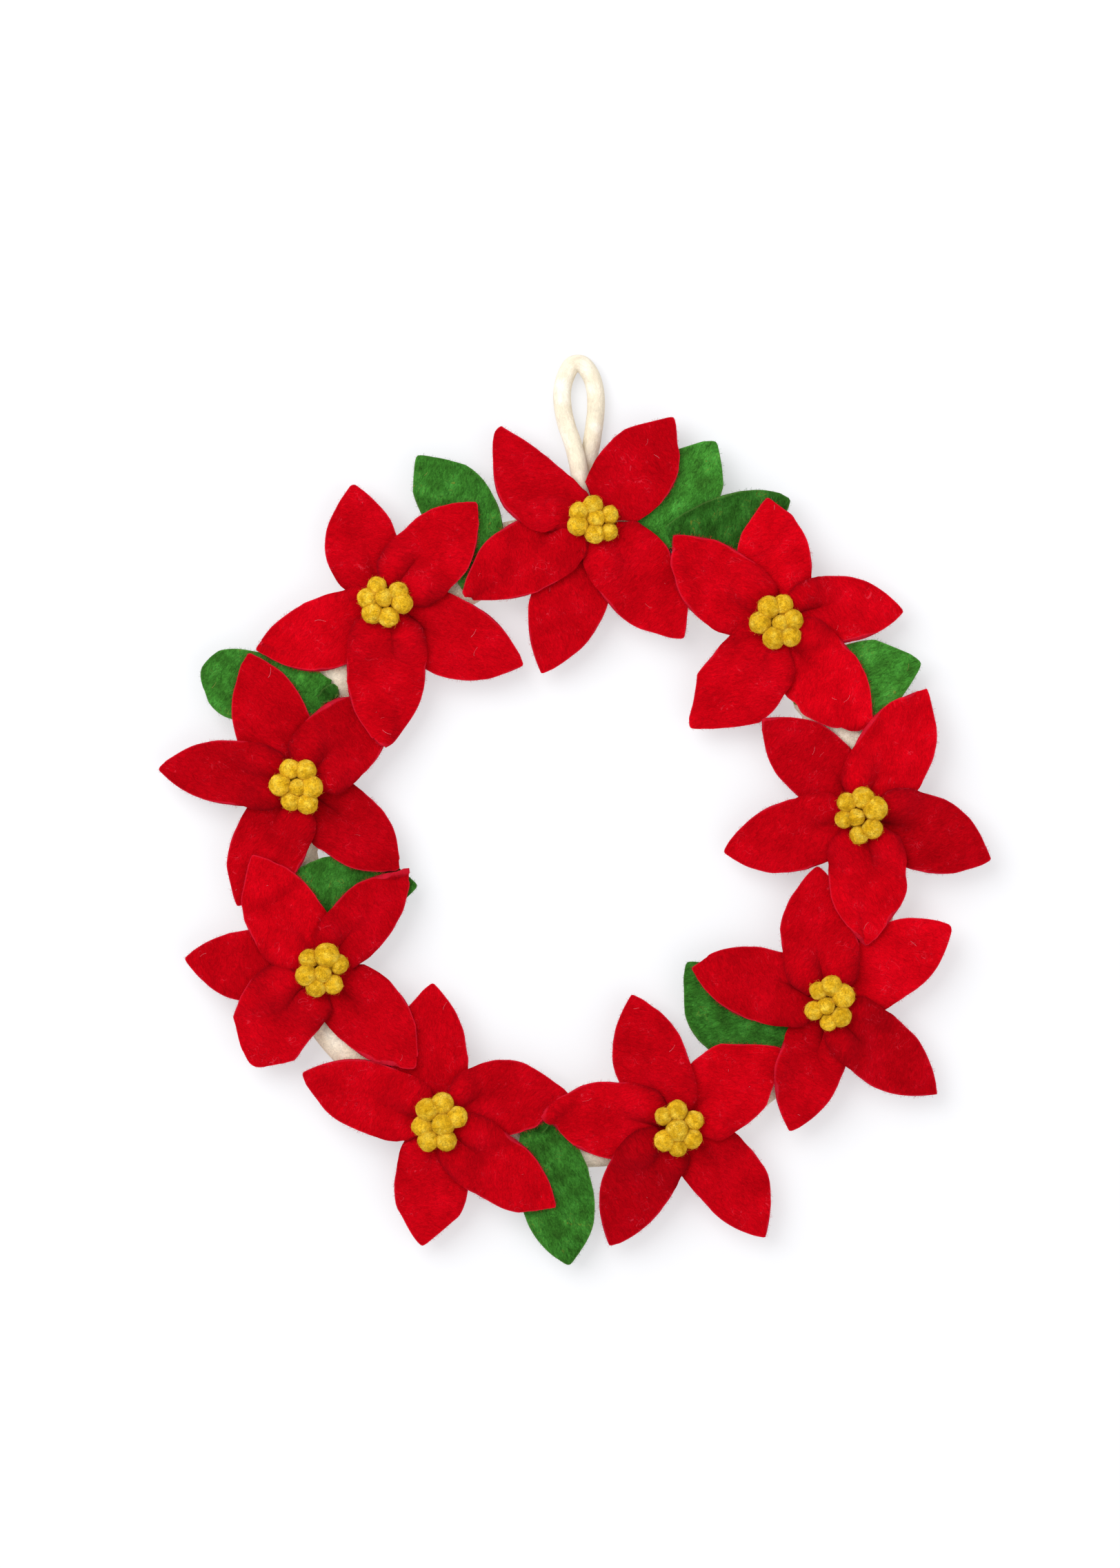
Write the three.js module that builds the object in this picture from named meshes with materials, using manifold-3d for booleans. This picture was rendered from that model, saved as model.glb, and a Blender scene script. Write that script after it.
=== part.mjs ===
// Felt poinsettia wreath, lying face up on a table. Millimetres, +Z out of its face, +Y towards
// the hanging loop.
//
// A padded cream ring lies flat. Green felt leaves lie on it, then nine poinsettias, each of five
// red petals joined at a stitched middle, and on every middle a heart of seven wool balls. Each
// piece is laid on what is already there, as it would be by hand, so nothing floats or cuts in.

import * as THREE from 'three';
import { mergeVertices } from 'three/addons/utils/BufferGeometryUtils.js';
import Module from 'manifold-3d';

const wasm = await Module();
wasm.setup();

// Driving dimensions
const gap = 0.3;
const ring = { inner: 110, outer: 140, height: 13, soleInset: 3, turns: 45 };
const petalFelt = 2.4;
const leafFelt = 2.2;
const cord = { diameter: 7.6, sides: 8, steps: 44 };
const middle = { radius: 8.5, sides: 8 };
const droop = { fall: 4, reach: 45 };
const pinch = { rise: 2, end: 0.5 };
const restHeight = 1;
const grid = { along: 6, across: 4 };

// The flowers, lowest first: where each heart lies from the ring's centre.
// A petal's row: angle it points to, length, width, lean of its midline to the left,
// layer in its flower, lift of its tip, and fullness of its tip (2.3 unless it is blunt).
const flowers = {
  top: {
    at: [7.8, 136.6],
    petals: [
      [136, 56.5, 30, 7.5, 1, 0],
      [53, 55.5, 33.5, -1.5, 1, 1],
      [307, 63, 34, 0.5, 1, 0],
      [251, 68.5, 32.5, 1, 0, 0],
      [209, 64, 31, -0.5, 2, -1],
    ],
  },
  left: {
    at: [-118.4, 23.1],
    petals: [
      [110, 60.5, 31.5, 1, 1, 1],
      [44.5, 55, 33, 1, 0, 0],
      [320, 55.5, 30, 1, 1, 0],
      [243, 57, 33, 1, 1, 0],
      [173, 59.5, 27.5, -2.5, 1, 1],
    ],
  },
  lowerLeftBottom: {
    at: [-57.8, -120.1],
    petals: [
      [93, 59, 32, 3, 1, 0],
      [11.5, 56, 32.5, 5, 1, 0],
      [324, 61, 30, -0.5, 0, 0],
      [262, 53, 31.5, 0, 1, 1],
      [160, 62, 31.5, 0.5, 1, 1],
    ],
  },
  upperLeft: {
    at: [-80.7, 101.9],
    petals: [
      [106, 51, 31, 3.5, 0, 0],
      [47.5, 57, 31.5, -0.5, 1, 1],
      [335, 64, 33.5, -2, 1, 0],
      [268, 61.5, 33.5, 1, 0, 0],
      [200, 59, 30.5, 4, 1, 0],
    ],
  },
  lowerLeft: {
    at: [-108.1, -55.4],
    petals: [
      [121, 57.5, 32, 2, 0, 0],
      [49, 56, 26, 1.5, 1, 1],
      [314, 57, 31.5, 1.5, 1, 0],
      [236, 48.5, 33.5, -3.5, 1, 0, 3.6],
      [175, 58.5, 30.5, 1, 1, 1],
    ],
  },
  lowerRightBottom: {
    at: [43.4, -122.2],
    petals: [
      [109, 59.5, 31.5, 1.5, 1, 0],
      [37.5, 55.5, 36, 0, 1, 0],
      [309, 60, 31.5, 3, 1, 1],
      [240, 58, 29.5, -2.5, 1, 0],
      [173, 55.5, 34, 1, 1, 0],
    ],
  },
  upperRight: {
    at: [85.7, 93.1],
    petals: [
      [140, 57.5, 32.5, 3.5, 1, 0],
      [94, 53, 31.5, -1, 1, 1],
      [5, 54, 29.5, 2.5, 1, 0],
      [312, 60, 34, -1.5, 0, 0],
      [231, 57.5, 35, 5, 1, 0, 2.9],
    ],
  },
  lowerRight: {
    at: [107.8, -69.3],
    petals: [
      [94.5, 58.5, 32, 2, 0, 0],
      [32, 61.5, 32, 1, 1, 1],
      [320, 60.5, 30.5, -1.5, 1, 0],
      [253, 57, 30, -0.5, 1, 0],
      [167, 59.5, 32.5, -0.5, 1, 0],
    ],
  },
  right: {
    at: [121, 10.7],
    petals: [
      [135, 58.5, 29.5, -2, 1, 0],
      [62, 61, 34, 0, 0, 0],
      [342, 59, 32.5, 1.5, 1, 1],
      [273, 55.5, 33, 2, 1, 0],
      [195, 59, 30.5, 1, 1, 0],
    ],
  },
};

// The hearts: angle and distance of the six outer balls from the heart's centre, and the
// diameter and place of the ball in the middle. An outer ball has the common diameter.
const ballDiameter = 9.2;
const hearts = {
  top: {
    outer: [[18, 7.7], [95, 6.8], [152, 8], [200, 8], [273, 6.6], [321, 9]],
    inner: [34, 1.1, 7.8],
  },
  left: {
    outer: [[61, 9], [112, 9], [174, 8], [248, 7.2], [302, 9.4], [358, 7]],
    inner: [315, 0.4, 8],
  },
  lowerLeftBottom: {
    outer: [[21, 8.8], [82, 9.8], [131, 9], [188, 8.3], [236, 9.4], [292, 8.6]],
    inner: [349, 1.5, 10],
  },
  upperLeft: {
    outer: [[37, 7.6], [119, 8.4], [171, 8.8], [222, 8.3], [281, 7.8], [354, 8]],
    inner: [112, 1.6, 9],
  },
  lowerLeft: {
    outer: [[23, 9], [70, 8.2], [134, 8.5], [195, 7.2], [252, 7.7], [314, 8.5]],
    inner: [315, 1.2, 8.6],
  },
  lowerRightBottom: {
    outer: [[27, 8.5], [92, 8.8], [138, 9], [222, 8.3], [270, 8.8], [325, 8.2]],
    inner: [243, 0.7, 10],
  },
  upperRight: {
    outer: [[7, 7.4], [72, 8.6], [120, 8.2], [182, 8.2], [257, 7.8], [313, 9.4]],
    inner: [344, 2.1, 8.2],
  },
  lowerRight: {
    outer: [[32, 7.6], [84, 8.8], [129, 8.4], [203, 7.8], [268, 8.5], [313, 8]],
    inner: [202, 1.6, 8.4],
  },
  right: {
    outer: [[26, 7.8], [82, 8.6], [136, 9.2], [191, 8], [266, 9], [313, 8.2]],
    inner: [198, 1.9, 8],
  },
};

// The leaves, lowest first: x and y of the base, then angle, length, width, lean and tip fullness.
const leaves = [
  [-40.5, 109.5, 116, 61, 31, -6, 2.6],
  [28.1, 126.3, 54, 54, 30, -1, 2.6],
  [40.4, 127.5, 19, 54, 27, -2, 2.6],
  [92.8, 60.1, 16, 56.5, 33, 0, 3.2],
  [-102.5, 60.5, 168.5, 58.5, 31, 2.5, 2.6],
  [-120.4, -20.1, 1, 52.5, 28, 0, 2.3],
  [-15.4, -120.7, 282, 61.5, 31, 1, 2.6],
  [91.3, -91.3, 138, 58.5, 33, 5, 2.3],
];

// The hanging loop's route, from the ring's edge up and round and back: x, y and height of the
// cord's middle. The first strand passes over the second where they come together.
const loopRoute = [
  [3.4, 140.9, 10.1],
  [2.2, 152.8, 10.6],
  [0.9, 161.5, 10.4],
  [-1.3, 170.4, 8.0],
  [-3.9, 178.2, 5.2],
  [-5.4, 185.5, 4.0],
  [-5.6, 192.8, 3.9],
  [-4.0, 199.3, 3.9],
  [-1.2, 203.8, 3.9],
  [2.6, 204.2, 3.9],
  [6.2, 200.0, 3.9],
  [8.4, 193.2, 3.9],
  [8.8, 185.5, 3.9],
  [8.1, 178.2, 3.9],
  [6.9, 170.4, 3.9],
  [5.4, 161.8, 3.9],
  [4.9, 152.8, 3.9],
  [5.2, 140.9, 3.9],
];

const materials = {
  cream: new THREE.MeshStandardMaterial({ color: '#ece0c6', roughness: 0.95, metalness: 0 }),
  red: new THREE.MeshStandardMaterial({ color: '#c2101f', roughness: 0.9, metalness: 0 }),
  green: new THREE.MeshStandardMaterial({ color: '#1f7a2c', roughness: 0.9, metalness: 0 }),
  mustard: new THREE.MeshStandardMaterial({ color: '#d3a51a', roughness: 0.95, metalness: 0 }),
};

// The height of everything laid so far, kept on a square grid of cells.
const cell = 1;
const reach = 215;
const cellsWide = Math.ceil((2 * reach) / cell);
const laid = new Float32Array(cellsWide * cellsWide);
const cellOf = (v) => Math.min(cellsWide - 2, Math.max(1, Math.floor((v + reach) / cell)));

// The highest thing laid in a cell, or within a margin of cells round it.
function heightUnder(x, y, margin = 1) {
  const column = cellOf(x);
  const row = cellOf(y);
  let highest = 0;
  for (let r = row - margin; r <= row + margin; r += 1) {
    for (let c = column - margin; c <= column + margin; c += 1) {
      highest = Math.max(highest, laid[r * cellsWide + c]);
    }
  }
  return highest;
}

// Visits points spread over a triangle, with their weights for its three corners.
function visitTriangle(a, b, c, spacing, visit) {
  const longest = Math.max(a.distanceTo(b), b.distanceTo(c), c.distanceTo(a));
  const count = Math.max(1, Math.ceil(longest / spacing));
  for (let i = 0; i <= count; i += 1) {
    for (let j = 0; j <= count - i; j += 1) {
      const [wa, wb] = [i / count, j / count];
      visit([wa, wb, 1 - wa - wb]);
    }
  }
}

const mixed = (corners, weights, axis) =>
  corners.reduce((sum, corner, i) => sum + corner[axis] * weights[i], 0);

// Visits points spread over the whole surface of a piece.
function visitSurface(geometry, spacing, visit) {
  const points = geometry.attributes.position;
  const { index } = geometry;
  const corner = (i) => new THREE.Vector3().fromBufferAttribute(points, index ? index.getX(i) : i);
  const total = index ? index.count : points.count;
  for (let t = 0; t < total; t += 3) {
    const corners = [corner(t), corner(t + 1), corner(t + 2)];
    visitTriangle(...corners, spacing, (weights) => {
      visit(mixed(corners, weights, 'x'), mixed(corners, weights, 'y'), mixed(corners, weights, 'z'));
    });
  }
}

function layDown(geometry) {
  visitSurface(geometry, cell / 2, (x, y, z) => {
    const place = cellOf(y) * cellsWide + cellOf(x);
    laid[place] = Math.max(laid[place], z);
  });
}

// Raises a stiff piece until it rests on what lies beneath it.
function setDown(geometry) {
  let rise = -Infinity;
  visitSurface(geometry, cell / 2, (x, y, z) => {
    rise = Math.max(rise, heightUnder(x, y, 0) + gap - z);
  });
  return geometry.translate(0, 0, rise);
}

// Solids are joined as manifolds, and come back as geometry.
function toSolid(geometry) {
  const bare = geometry.clone();
  bare.deleteAttribute('normal');
  bare.deleteAttribute('uv');
  const merged = mergeVertices(bare, 1e-4);
  return new wasm.Manifold(new wasm.Mesh({
    numProp: 3,
    vertProperties: new Float32Array(merged.attributes.position.array),
    triVerts: new Uint32Array(merged.index.array),
  }));
}

// Joins pieces that touch into one body, and fills the pockets that they close off inside it.
function joined(geometries) {
  const shells = geometries.map(toSolid).reduce((whole, part) => whole.add(part)).decompose();
  const bodies = shells.filter((shell) => shell.volume() > 0);
  if (bodies.length !== 1) throw new Error(`the pieces make ${bodies.length} bodies, not one`);
  const mesh = bodies[0].getMesh();
  const geometry = new THREE.BufferGeometry();
  geometry.setAttribute('position', new THREE.BufferAttribute(new Float32Array(mesh.vertProperties), 3));
  geometry.setIndex(new THREE.BufferAttribute(new Uint32Array(mesh.triVerts), 1));
  geometry.computeVertexNormals();
  return geometry;
}

// A petal or leaf is a thin sheet over a grid: rows run from its base to its tip, where they
// meet in a point, and columns run across it. A gathered base stays inside a narrow wedge.
const widestAt = 0.47;
const baseShare = 0.2;
const gatheredWedge = Math.tan(THREE.MathUtils.degToRad(35));

function halfWidthShare(u, tipFullness) {
  if (u < widestAt) return 1 - (1 - baseShare) * ((widestAt - u) / widestAt) ** 2;
  return 1 - ((u - widestAt) / (1 - widestAt)) ** tipFullness;
}

const rowPlace = (row, start) => start + (1 - start) * (1 - (1 - row / grid.along) ** 1.3);

function outlineGrid({ x, y, angle, length, width, lean, tip, start }) {
  const gathered = start > 0;
  const turn = THREE.MathUtils.degToRad(angle);
  const points = [];
  for (let row = 0; row <= grid.along; row += 1) {
    const u = rowPlace(row, start);
    const wedge = gathered ? u * length * gatheredWedge : width;
    const half = Math.min(wedge, (width / 2) * halfWidthShare(u, tip));
    const bend = lean * 4 * u * (1 - u);
    const columns = row === grid.along ? [0] : Array.from({ length: grid.across + 1 }, (_, c) => c);
    for (const column of columns) {
      const across = row === grid.along ? 0 : (2 * column) / grid.across - 1;
      const side = bend + across * half;
      points.push({
        u,
        across,
        x: x + Math.cos(turn) * u * length - Math.sin(turn) * side,
        y: y + Math.sin(turn) * u * length + Math.cos(turn) * side,
      });
    }
  }
  return points;
}

const gridIndex = (row, column) =>
  (row === grid.along ? grid.along * (grid.across + 1) : row * (grid.across + 1) + column);

// The facets of the sheet, seen from above.
function gridFacets() {
  const facets = [];
  for (let row = 0; row < grid.along; row += 1) {
    for (let column = 0; column < grid.across; column += 1) {
      const near = [gridIndex(row, column), gridIndex(row, column + 1)];
      const far = [gridIndex(row + 1, column), gridIndex(row + 1, column + 1)];
      facets.push([near[0], far[0], near[1]]);
      if (far[0] !== far[1]) facets.push([near[1], far[0], far[1]]);
    }
  }
  return facets;
}

// The sheet's edge, anticlockwise seen from above: out along the right side, back along the left.
function gridEdge() {
  const edge = [];
  for (let row = 0; row <= grid.along; row += 1) edge.push(gridIndex(row, 0));
  for (let row = grid.along - 1; row > 0; row -= 1) edge.push(gridIndex(row, grid.across));
  for (let column = grid.across; column > 0; column -= 1) edge.push(gridIndex(0, column));
  return edge;
}

// How far a point lies outside the band that the ring carries.
function beyondRing(x, y) {
  const radius = Math.hypot(x, y);
  return Math.max(0, ring.inner - radius, radius - ring.outer);
}

// The height a sheet has by itself: level over the ring, drooping past it, with its sides
// turned up where its base is pinched.
function freeHeight(point, { lift, rise }) {
  const past = Math.min(1, beyondRing(point.x, point.y) / droop.reach);
  const fold = Math.max(0, 1 - point.u / pinch.end);
  return ring.height + gap - droop.fall * past ** 2 + lift * point.u ** 2 + rise * fold * point.across ** 2;
}

// Raises the sheet's points until each facet clears what lies beneath it.
function settle(points, form) {
  const underside = points.map((p) => new THREE.Vector3(p.x, p.y, freeHeight(p, form)));
  const passes = 40;
  const done = 0.02;
  for (let pass = 0; pass < passes; pass += 1) {
    let worst = 0;
    for (const facet of gridFacets()) {
      const corners = facet.map((i) => underside[i]);
      visitTriangle(...corners, cell, (weights) => {
        const seat = heightUnder(mixed(corners, weights, 'x'), mixed(corners, weights, 'y'));
        const clear = Math.max(restHeight, seat + gap);
        const short = clear - mixed(corners, weights, 'z');
        if (short <= 0) return;
        worst = Math.max(worst, short);
        const spread = weights.reduce((sum, w) => sum + w * w, 0);
        corners.forEach((corner, i) => { corner.z += (short * weights[i]) / spread; });
      });
    }
    if (worst < done) break;
  }
  return underside;
}

function sheetGeometry(underside, thickness) {
  const count = underside.length;
  const position = [...underside, ...underside.map((p) => p.clone().setZ(p.z + thickness))]
    .flatMap((p) => [p.x, p.y, p.z]);
  const index = [];
  for (const [a, b, c] of gridFacets()) index.push(a, c, b, a + count, b + count, c + count);
  const edge = gridEdge();
  edge.forEach((from, i) => {
    const to = edge[(i + 1) % edge.length];
    index.push(from, to, to + count, from, to + count, from + count);
  });
  const geometry = new THREE.BufferGeometry();
  geometry.setAttribute('position', new THREE.Float32BufferAttribute(position, 3));
  geometry.setIndex(index);
  geometry.computeVertexNormals();
  return geometry;
}

// A mesh stands at its own point of the wreath, and its geometry is kept about that point.
const wreath = new THREE.Group();

function addPiece(name, geometry, material, [x, y] = [0, 0]) {
  layDown(geometry);
  const mesh = new THREE.Mesh(geometry.clone().translate(-x, -y, 0), material);
  mesh.name = name;
  mesh.position.set(x, y, 0);
  wreath.add(mesh);
  return mesh;
}

// The ring: a flat sole, full sides and a crowned top, turned about Z.
function ringGeometry() {
  const { inner, outer, height, soleInset, turns } = ring;
  const centre = (inner + outer) / 2;
  const half = (outer - inner) / 2;
  const sideHeight = 0.42 * height;
  const crown = [];
  const crownSteps = 7;
  for (let i = 0; i <= crownSteps; i += 1) {
    const angle = (Math.PI * i) / crownSteps;
    crown.push(new THREE.Vector2(
      centre + half * Math.cos(angle),
      sideHeight + (height - sideHeight) * Math.sin(angle) ** 0.8,
    ));
  }
  const profile = [
    new THREE.Vector2(inner + soleInset, 0),
    new THREE.Vector2(outer - soleInset, 0),
    ...crown,
    new THREE.Vector2(inner + soleInset, 0),
  ];
  return mergeVertices(new THREE.LatheGeometry(profile, turns).rotateX(Math.PI / 2));
}

function loopGeometry() {
  const stops = loopRoute.map((p) => new THREE.Vector3(...p));
  const route = new THREE.CatmullRomCurve3(stops, false, 'centripetal');
  const section = new THREE.Shape();
  for (let side = 0; side < cord.sides; side += 1) {
    const angle = (2 * Math.PI * side) / cord.sides;
    const [x, y] = [(cord.diameter / 2) * Math.cos(angle), (cord.diameter / 2) * Math.sin(angle)];
    if (side === 0) section.moveTo(x, y);
    else section.lineTo(x, y);
  }
  return new THREE.ExtrudeGeometry(section, { steps: cord.steps, extrudePath: route, curveSegments: 1 });
}

// A petal starts a little way out from its flower's centre.
const petalStart = 0.1;
const pointedTip = 2.3;

function petalGeometry([x, y], [angle, length, width, lean, , lift, tip = pointedTip]) {
  const points = outlineGrid({ x, y, angle, length, width, lean, tip, start: petalStart });
  return sheetGeometry(settle(points, { lift, rise: pinch.rise }), petalFelt);
}

function highestInDisc([x, y], radius) {
  let highest = 0;
  for (let dx = -radius; dx <= radius; dx += cell) {
    for (let dy = -radius; dy <= radius; dy += cell) {
      if (Math.hypot(dx, dy) <= radius) highest = Math.max(highest, heightUnder(x + dx, y + dy));
    }
  }
  return highest;
}

// The stitched middle that gathers the petals' bases, from its seat to the top of the uppermost.
function middleGeometry([x, y], seat, petals) {
  const upperBase = petals[0].attributes.position.count / 2 + grid.across / 2;
  const height = Math.max(...petals.map((petal) => petal.attributes.position.getZ(upperBase))) - seat;
  return new THREE.CylinderGeometry(middle.radius - 1, middle.radius, height, middle.sides)
    .rotateX(Math.PI / 2)
    .translate(x, y, seat + height / 2);
}

function flowerGeometry({ at, petals }) {
  const seat = highestInDisc(at, middle.radius) + gap;
  const sewn = [];
  for (const layer of [0, 1, 2]) {
    const laidTogether = petals.filter((row) => row[4] === layer).map((row) => petalGeometry(at, row));
    laidTogether.forEach(layDown);
    sewn.push(...laidTogether);
  }
  return joined([middleGeometry(at, seat, sewn), ...sewn]);
}

// A heart's balls are sewn together side by side. A faceted ball is a little larger than a round
// one, so that it fills the same space.
const facetAllowance = 1.1;
const ballSides = 7;
const ballRows = 4;

function heartGeometry([x, y], { outer, inner }) {
  const rows = [...outer.map(([angle, distance]) => [angle, distance, ballDiameter]), inner];
  const balls = rows.map(([angle, distance, diameter]) => {
    const turn = THREE.MathUtils.degToRad(angle);
    return new THREE.SphereGeometry((facetAllowance * diameter) / 2, ballSides, ballRows)
      .rotateX(Math.PI / 2)
      .translate(x + distance * Math.cos(turn), y + distance * Math.sin(turn), 0);
  });
  return setDown(joined(balls));
}

addPiece('ring', ringGeometry(), materials.cream);
addPiece('hanging_loop', loopGeometry(), materials.cream);

leaves.forEach(([x, y, angle, length, width, lean, tip], i) => {
  const points = outlineGrid({ x, y, angle, length, width, lean, tip, start: 0 });
  const underside = settle(points, { lift: 0, rise: 0 });
  addPiece(`leaf_${i + 1}`, sheetGeometry(underside, leafFelt), materials.green, [x, y]);
});

Object.values(flowers).forEach((flower, i) => {
  addPiece(`flower_${i + 1}`, flowerGeometry(flower), materials.red, flower.at);
});

Object.entries(hearts).forEach(([name, heart]) => {
  const number = Object.keys(flowers).indexOf(name) + 1;
  const { at } = flowers[name];
  addPiece(`heart_${number}`, heartGeometry(at, heart), materials.mustard, at);
});

// The origin is under the middle of the wreath's outline, without its loop.
const outline = new THREE.Box3();
wreath.children
  .filter((piece) => piece.name !== 'hanging_loop')
  .forEach((piece) => outline.expandByObject(piece, true));
const centre = outline.getCenter(new THREE.Vector3());
wreath.position.set(-centre.x, -centre.y, 0);

const root = new THREE.Group();
root.add(wreath);

export default root;
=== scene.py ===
"""A felt poinsettia wreath, lying face up, dressed in wool felt.

The wreath is put together as it is made by hand. A padded ring lies on the table, green leaves
lie on it, then nine poinsettias of five petals each, petal by petal, and a heart of seven wool
balls goes on each flower. Every sheet of felt is laid on what is already there.
Sizes in the tables are millimetres from the middle of the ring, and the meshes are metres.
"""

import math
from collections import namedtuple

import bmesh
import bpy
import numpy as np
from bpy.props import FloatProperty, FloatVectorProperty, PointerProperty
from mathutils import Matrix, Vector, noise


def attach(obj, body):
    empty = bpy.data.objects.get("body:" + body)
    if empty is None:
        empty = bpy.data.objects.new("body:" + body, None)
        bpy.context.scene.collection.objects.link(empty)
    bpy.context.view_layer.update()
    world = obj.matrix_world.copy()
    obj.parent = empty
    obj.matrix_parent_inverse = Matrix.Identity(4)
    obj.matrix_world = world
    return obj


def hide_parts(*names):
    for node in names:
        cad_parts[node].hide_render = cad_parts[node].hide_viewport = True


bl_info = {
    "name": "Felt poinsettia wreath",
    "version": (1, 0, 0),
    "blender": (4, 5, 0),
    "location": "3D View > Sidebar > Wreath",
    "description": "Lays a wreath of felt poinsettias, leaves and wool balls, piece by piece",
    "category": "Add Mesh",
}

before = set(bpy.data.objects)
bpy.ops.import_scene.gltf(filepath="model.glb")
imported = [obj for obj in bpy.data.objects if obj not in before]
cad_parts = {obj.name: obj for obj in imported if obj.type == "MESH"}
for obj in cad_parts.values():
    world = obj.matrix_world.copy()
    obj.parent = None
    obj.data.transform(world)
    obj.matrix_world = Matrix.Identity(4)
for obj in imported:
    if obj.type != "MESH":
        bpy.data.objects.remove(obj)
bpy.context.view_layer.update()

MM = 0.001

# Where the middle of the ring lies in the part's own frame.
RING_CENTRE = (0.172, -0.034)


# The pieces' places and sizes

Petal = namedtuple(
    "Petal", "angle length width lean layer lift tone pleat tip blunt", defaults=[2.3, 0.6]
)
Flower = namedtuple("Flower", "x y petals")
Ball = namedtuple("Ball", "angle distance diameter")
Leaf = namedtuple("Leaf", "tone x y angle length width lean tip blunt foot", defaults=[1.0, 60])

# The flowers, lowest first. A petal leans towards its left where its lean is above nought. The layer
# says which petals lie on which, the lift is how far the tip stands up, the tone is how light the
# felt is, and the pleat is how high it stands beside the fold at its base.
FLOWERS = {
    "top": Flower(7.8, 136.6, [
        Petal(136, 56.5, 29, 8.5, 2, 0, 0.9, 0.5, 1.9, 3.5),
        Petal(52.5, 55.5, 33.5, -1.5, 1, 1, 0.9, 0.5),
        Petal(307.5, 63, 34.5, 0.5, 1, 0, 1.0, 1.0),
        Petal(251, 68.5, 32.5, 1, 0, 0, 0.95, 1.5),
        Petal(209, 64, 31, -0.5, 1, -1, 0.95, 1.2),
    ]),
    "left": Flower(-118.4, 23.1, [
        Petal(110, 60.5, 31.5, 1, 1, 1, 0.9, 1.6),
        Petal(44.5, 55, 33, 1, 2, 0, 0.87, 2.2),
        Petal(320, 55.5, 30, 1, 1, 0, 0.78, 2.0),
        Petal(243, 57, 32, 0.5, 1, 0, 0.9, 1.8),
        Petal(173, 59.5, 27.5, -2.5, 1, 1, 0.8, 2.4),
    ]),
    "lower_left_bottom": Flower(-57.8, -120.1, [
        Petal(93, 59, 32, 3, 1, 0, 0.95, 1.2),
        Petal(11.5, 56, 32.5, 5, 1, 0, 0.87, 1.6),
        Petal(324, 61, 29, -1.2, 2, 0, 0.97, 2.4),
        Petal(262, 53, 31.5, 0, 1, 1, 1.0, 1.4),
        Petal(160, 62, 30.5, 0, 1, 1, 0.97, 1.4),
    ]),
    "upper_left": Flower(-80.7, 101.9, [
        Petal(106, 52, 31, 3.5, 0, 0, 0.95, 1.6, 2.0, 1.3),
        Petal(47.5, 57, 31.5, -0.5, 2, 1, 1.0, 3.0),
        Petal(335, 64, 33.5, -2, 1, 0, 1.0, 2.4),
        Petal(268, 61.5, 33.5, 1, 2, 0, 1.0, 2.4),
        Petal(200, 59, 30.5, 4, 1, 0, 1.05, 1.4),
    ]),
    "lower_left": Flower(-108.1, -55.4, [
        Petal(121, 57.5, 32, 2, 2, 0, 1.05, 1.6),
        Petal(49, 56, 26, 1.5, 3, 1, 0.85, 1.6),
        Petal(314, 57, 31.5, 1.5, 1, 0, 0.93, 1.8),
        Petal(233.5, 50, 34, -3.8, 2, 0, 0.95, 2.8, 4.0, 3.0),
        Petal(175, 58.5, 30.5, 1, 1, 1, 0.9, 2.2),
    ]),
    "lower_right_bottom": Flower(43.4, -122.2, [
        Petal(109, 59.5, 31.5, 1.5, 2, 0, 0.92, 1.4),
        Petal(37.5, 55.5, 35.5, 0.7, 1, 0, 1.1, 1.4),
        Petal(309, 60, 30, 3.7, 0, 1, 0.97, 1.4),
        Petal(240, 58, 29.5, -2.5, 4, 0, 0.74, 2.6),
        Petal(173, 57.5, 32.5, 0.3, 3, 0, 1.0, 2.6),
    ]),
    "upper_right": Flower(85.7, 93.1, [
        Petal(140, 57.5, 32.5, 3.5, 3, 0, 1.05, 1.4),
        Petal(94, 53, 31.5, -1, 0, 1, 1.15, 1.6),
        Petal(5, 54, 28.5, 3, 1, 0, 1.08, 2.8),
        Petal(312, 60, 32.5, -0.8, 2, 0, 1.2, 2.4),
        Petal(231, 57.5, 35, 5, 3, 0, 1.05, 1.6, 2.9),
    ]),
    "lower_right": Flower(107.8, -69.3, [
        Petal(94.5, 58.5, 32, 2, 2, 0, 0.97, 2.2),
        Petal(32, 61.5, 32, 1, 1, 1, 1.15, 1.6, 2.3, 1.6),
        Petal(320, 60.5, 29.5, -1, 2, 0, 0.8, 2.0),
        Petal(253, 56.5, 28.5, 0.2, 1, 0, 0.95, 1.4),
        Petal(165.5, 60, 31, -0.5, 1, 0, 0.9, 2.4),
    ]),
    "right": Flower(121, 10.7, [
        Petal(135, 58.5, 30.5, -2.5, 0, 0, 0.87, 1.4),
        Petal(62, 61, 33, -0.5, 1, 0, 1.13, 2.0),
        Petal(342, 59, 32.5, 1.5, 2, 1, 0.8, 2.8),
        Petal(273, 55.5, 33, 2, 3, 0, 1.1, 2.4),
        Petal(195, 59, 30.5, 1, 1, 0, 0.95, 1.4),
    ]),
}

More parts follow.
